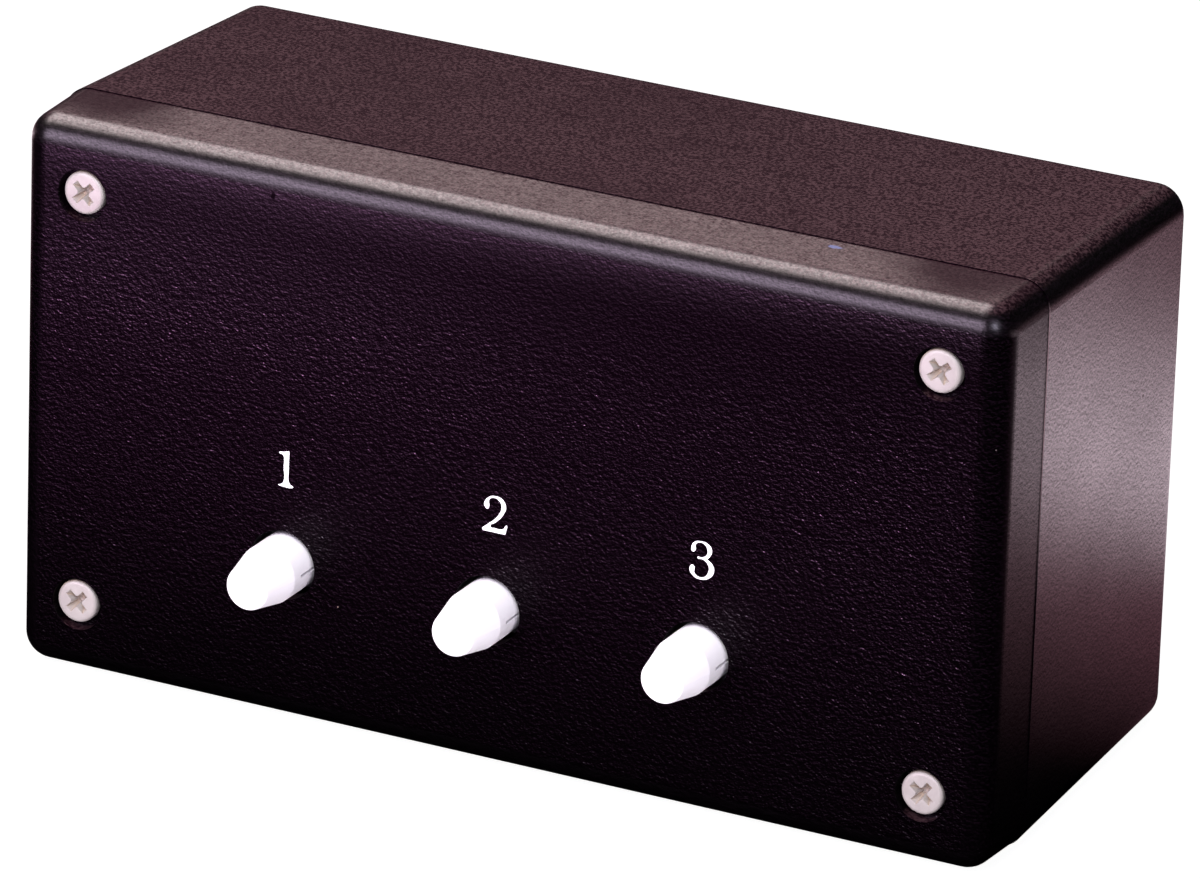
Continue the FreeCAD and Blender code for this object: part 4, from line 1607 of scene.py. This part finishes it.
@dataclass
class SwitchBank:
    """The latching switch bank behind the lid.

    Attributes:
        lean: the box's axes.
        palette: the finishes.
        wire: the diameter of the return springs' wire, in millimetres.
        turns: how many turns a return spring has.
        latch_wire: the diameter of the latch spring's wire, in millimetres.
        latch_turns: how many turns the latch spring has.
    """

    lean: Lean
    palette: Palette
    wire: float = 0.5
    turns: float = 6.0
    latch_wire: float = 0.3
    latch_turns: float = 7.0

    def build(self) -> None:
        """Dresses the bank and winds its springs."""
        for node in ("switch_frame", "latch_bar", "frame_screws"):
            self.palette.dress(node, Slot.SHEET)
        for number in (1, 2, 3):
            self.palette.dress(f"switch_housing_{number}", Slot.SWITCH)
            self.palette.dress(f"switch_base_{number}", Slot.SWITCH)
            self.palette.dress(f"moving_contacts_{number}", Slot.CONTACT)
            self.palette.dress(f"terminals_{number}", Slot.CONTACT)
            self._return_spring(number)
        self._latch_spring()

    @staticmethod
    def _helix(length: float, radius: float, wire: float, turns: float) -> list[Vector]:
        """The middle line of a spring with closed ends, along y from the origin.

        Args:
            length: the spring's whole length.
            radius: the mean radius.
            wire: the wire's diameter.
            turns: how many turns it has.

        Returns:
            The points.
        """
        steps = int(turns * SPRING_STEPS)
        rise = wire * 1.02
        open_length = length - wire - rise * 2.0 * CLOSED_TURNS
        line = []
        for step in range(steps + 1):
            done = step / steps * turns
            opened = min(max((done - CLOSED_TURNS) / (turns - 2.0 * CLOSED_TURNS), 0.0), 1.0)
            closed = min(done, CLOSED_TURNS) + min(max(done - turns + CLOSED_TURNS, 0.0), CLOSED_TURNS)
            y = wire / 2.0 + rise * closed + opened * open_length
            a = done * 2.0 * math.pi
            line.append(Vector((radius * math.cos(a), y, radius * math.sin(a))))
        return line

    def _return_spring(self, number: int) -> None:
        """Winds one button's return spring.

        Args:
            number: the button's number.
        """
        node = f"return_spring_{number}"
        low, high = self.lean.span(node)
        middle = (low + high) / 2.0
        length = high.y - low.y
        radius = (high.x - low.x - self.wire) / 2.0
        form = Form().tube(self._helix(length, radius, self.wire, self.turns), self.wire / 2.0, 10)
        place = in_box(self.lean, middle.x, low.y, middle.z)
        finish = self.palette.by_slot[Slot.SPRING]
        item = piece(f"{node}_wire", form.data(node), place, finish, "housing")
        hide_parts(node)
        travel = self._travel(f"button_{number}_press")
        anchor = self.lean.at((middle.x, high.y, middle.z))
        1.0 - travel / length
        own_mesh(item)

    def _latch_spring(self) -> None:
        """Winds the latch bar's spring."""
        low, high = self.lean.span("latch_spring")
        middle = (low + high) / 2.0
        length = high.x - low.x
        radius = (high.z - low.z - self.latch_wire) / 2.0
        line = self._helix(length, radius, self.latch_wire, self.latch_turns)
        form = Form().tube(line, self.latch_wire / 2.0, 8)
        form.moved(Matrix.Rotation(math.radians(-90.0), 4, "Z"))
        place = in_box(self.lean, low.x, middle.y, middle.z)
        finish = self.palette.by_slot[Slot.SPRING]
        item = piece("latch_spring_wire", form.data("latch_spring"), place, finish, "housing")
        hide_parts("latch_spring")
        travel = self._travel("latch_bar_slide")
        anchor = self.lean.at((high.x, middle.y, middle.z))
        1.0 - travel / length
        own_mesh(item)

    @staticmethod
    def _travel(name: str) -> float:
        """A joint's travel in millimetres.

        Args:
            name: the joint's name.

        Returns:
            The travel.
        """
        joint = next(joint for joint in frame["joints"] if joint["name"] == name)
        low, high = joint["range_m"]
        return (high - low) / MM


BEVEL_HEIGHT = 0.7
BEVEL_INSET = 0.4
COUNTERSINK = 0.45


@dataclass
class SocketPanel:
    """The sockets on the back with their washers and nuts."""

    lean: Lean
    palette: Palette
    sides: tuple[str, ...] = ("left", "right")
    lines: tuple[str, ...] = ("input_1", "input_2", "input_3", "output")

    def build(self) -> None:
        """Dresses the sockets and builds the chamfered nuts."""
        self.palette.dress("jack_board", Slot.BOARD)
        self.palette.dress("jack_washers", Slot.NUT)
        for line in self.lines:
            for side in self.sides:
                self.palette.dress(f"jack_body_{line}_{side}", Slot.JACK)
                self.palette.dress(f"jack_contacts_{line}_{side}", Slot.CONTACT)
        self._nuts()

    def _nuts(self) -> None:
        """Builds the nuts in place of the CAD's plain ones."""
        low, high = self.lean.span("jack_nuts")
        finish = self.palette.by_slot[Slot.NUT]
        for line in self.lines:
            for side in self.sides:
                body = f"jack_body_{line}_{side}"
                body_low, body_high = self.lean.span(body)
                middle = (body_low + body_high) / 2.0
                bore = max(away for away, depth in self._reaches(body, middle) if depth > low.y)
                corner = max(away for away, _ in self._reaches("jack_nuts", middle) if away < 10.0)
                data = self._nut(corner, bore, high.y - low.y)
                place = in_box(self.lean, middle.x, low.y, middle.z)
                item = piece(f"jack_nut_{line}_{side}", data, place, finish, "housing", 25.0)
                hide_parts("jack_nuts")

    def _reaches(self, node: str, middle: Vector) -> list[tuple[float, float]]:
        """How far a CAD node's corners are from a socket's middle line.

        Args:
            node: the node's name.
            middle: the socket's middle.

        Returns:
            Distance and depth of each corner, in millimetres.
        """
        reaches = []
        for vertex in frame["nodes"][node].data.vertices:
            step = (vertex.co - self.lean.origin) / MM
            away = Vector((step.dot(self.lean.right) - middle.x, step.dot(self.lean.up) - middle.z))
            reaches.append((away.length, step.dot(self.lean.into)))
        return reaches

    @staticmethod
    def _nut(corner: float, bore: float, height: float) -> bpy.types.Mesh:
        """One hexagon nut with bevelled corners and a countersunk bore.

        Args:
            corner: the corners' distance from the middle.
            bore: the bore's radius.
            height: the nut's height.

        Returns:
            The mesh, from the origin along y.
        """
        angles = [math.radians(60.0 * step) for step in range(6)]
        hexagon = Form().prism([(corner * math.cos(a), corner * math.sin(a)) for a in angles], 0.0, height)
        flat = corner * math.cos(math.radians(30.0))
        slope = (corner - flat + BEVEL_INSET) / BEVEL_HEIGHT
        over, past, before = 0.3, 0.05, 0.5
        barrel = [
            (bore + 0.05, -before),
            (flat - 0.1, -before),
            (corner + over, -before + 0.001),
            (corner + over, height - BEVEL_HEIGHT - over / slope),
            (flat - BEVEL_INSET - past * slope, height + past),
            (bore + COUNTERSINK, height + past),
            (bore + COUNTERSINK, height),
            (bore + 0.04, height - COUNTERSINK + 0.03),
        ]
        chamfer = Form().turned(barrel, 72, closed=True)
        return combined("nut", hexagon.data("nut_blank"), [chamfer.data("nut_tool")], "INTERSECT")


@dataclass
class Wiring:
    """The boards' headers and the ribbon cable between them."""

    palette: Palette

    def build(self) -> None:
        """Dresses the wiring."""
        self.palette.dress("switch_board", Slot.BOARD)
        self.palette.dress("switch_header", Slot.HEADER)
        self.palette.dress("jack_header", Slot.HEADER)
        self.palette.dress("header_pins", Slot.CONTACT)
        self.palette.dress("ribbon_cable", Slot.RIBBON)


# Studio


@dataclass(frozen=True)
class Lamp:
    """One soft rectangular lamp.

    Attributes:
        name: its name.
        azimuth: where it stands, in degrees to the right of the front.
        elevation: how high it stands, in degrees.
        distance: how far it stands, in metres.
        size: its width and height, in metres.
        radiance: how bright its face is.
        colour: its colour.
        mirrored: whether glossy surfaces mirror it.
    """

    name: str
    azimuth: float
    elevation: float
    distance: float
    size: tuple[float, float]
    radiance: float
    colour: Colour = WHITE
    mirrored: bool = True

    def build(self, target: Vector) -> None:
        """Hangs the lamp.

        Args:
            target: the point that it faces.
        """
        width, height = self.size
        data = bpy.data.lights.new(self.name, "AREA")
        data.shape = "RECTANGLE"
        data.size = width
        data.size_y = height
        data.energy = self.radiance * math.pi * width * height
        data.color = self.colour
        item = bpy.data.objects.new(self.name, data)
        around, above = math.radians(self.azimuth), math.radians(self.elevation)
        away = Vector(
            (math.sin(around) * math.cos(above), -math.cos(around) * math.cos(above), math.sin(above))
        )
        item.location = target + away * self.distance
        item.rotation_euler = away.to_track_quat("Z", "Y").to_euler()
        bpy.context.scene.collection.objects.link(item)
        item.visible_camera = False
        item.visible_glossy = self.mirrored


@dataclass
class Studio:
    """The floor, the lamps, the surroundings and the camera.

    Attributes:
        camera_place: where the camera stands.
        camera_turn: how it is turned about each axis, in degrees.
        lens: its focal length in millimetres.
        target: the point that the lamps face.
        floor_size: the floor's width and depth in metres.
        lamps: the lamps.
    """

    camera_place: Point = (0.593690, -1.189817, 0.602183)
    camera_turn: Point = (66.9447, -0.9330, 26.9834)
    lens: float = 312.9
    target: Point = (0.0, -0.01, 0.04)
    floor_size: float = 8.0
    lamps: tuple[Lamp, ...] = (
        Lamp("main", -105.0, 60.0, 1.5, (1.2, 0.9), 8.6, (1.0, 0.87, 0.86)),
        Lamp("back_left", -150.0, 31.0, 1.6, (0.85, 0.60), 1.7, (1.0, 0.76, 0.75)),
        Lamp("fill", 12.0, 46.0, 1.6, (0.8, 0.8), 15.0, (0.99, 0.97, 1.0), False),
        Lamp("spark", 35.0, 30.0, 1.6, (0.55, 0.55), 9.0, (0.86, 0.80, 1.0)),
        Lamp("low_left", -27.0, 20.0, 2.0, (1.0, 1.15), 6.6, (0.95, 0.77, 1.0)),
    )

    def build(self) -> None:
        """Builds the studio."""
        self._floor()
        self._surroundings()
        for lamp in self.lamps:
            lamp.build(Vector(self.target))
        self._camera()

    def _floor(self) -> None:
        """Lays the floor."""
        form = Form()
        half = self.floor_size / 2.0
        signs = ((-1, -1), (1, -1), (1, 1), (-1, 1))
        form.mesh.faces.new(form.ring((half * x, half * y, 0.0) for x, y in signs))
        data = form.data("floor")
        data.materials.append(PaleFloor().material("pale_floor"))
        floor = bpy.data.objects.new("floor", data)
        bpy.context.scene.collection.objects.link(floor)

    def _surroundings(self) -> None:
        """Sets the surroundings: white for the camera, dim for the light and almost dark for what shines."""
        shader = Shader(bpy.data.worlds.new("studio"))
        light, shine, seen = (
            shader.node("ShaderNodeBackground", {}, {"Color": colour, "Strength": strength})
            for colour, strength in (((0.93, 0.93, 1.0), 0.30), ((1.0, 0.9, 0.95), 0.02), (WHITE, 1.0))
        )
        unseen = shader.blended(shader.ray("Is Glossy Ray"), light, shine)
        bpy.context.scene.world = shader.end(shader.blended(shader.ray("Is Camera Ray"), unseen, seen))

    def _camera(self) -> None:
        """Sets up the camera at the photograph's place."""
        data = bpy.data.cameras.new("camera")
        data.lens = self.lens
        data.sensor_width = 36.0
        data.clip_end = 20.0
        camera = bpy.data.objects.new("camera", data)
        camera.location = self.camera_place
        camera.rotation_euler = [math.radians(turn) for turn in self.camera_turn]
        bpy.context.scene.collection.objects.link(camera)
        bpy.context.scene.camera = camera
        bpy.context.scene.view_settings.view_transform = "Standard"


def main() -> None:
    """Builds the part's looks, its studio and its camera, in order."""
    logging.basicConfig(level=logging.INFO)
    lean = Lean.of_frame()
    ribbon_low, _ = lean.span("ribbon_cable")
    palette = Palette(RibbonVinyl(1.27, ribbon_low.x))
    Enclosure(palette).build()
    LidScrews(lean, palette).build()
    Numerals(lean, palette).build()
    ButtonRow(palette).build()
    SwitchBank(lean, palette).build()
    SocketPanel(lean, palette).build()
    Wiring(palette).build()
    Studio().build()


if __name__ == "__main__":
    main()
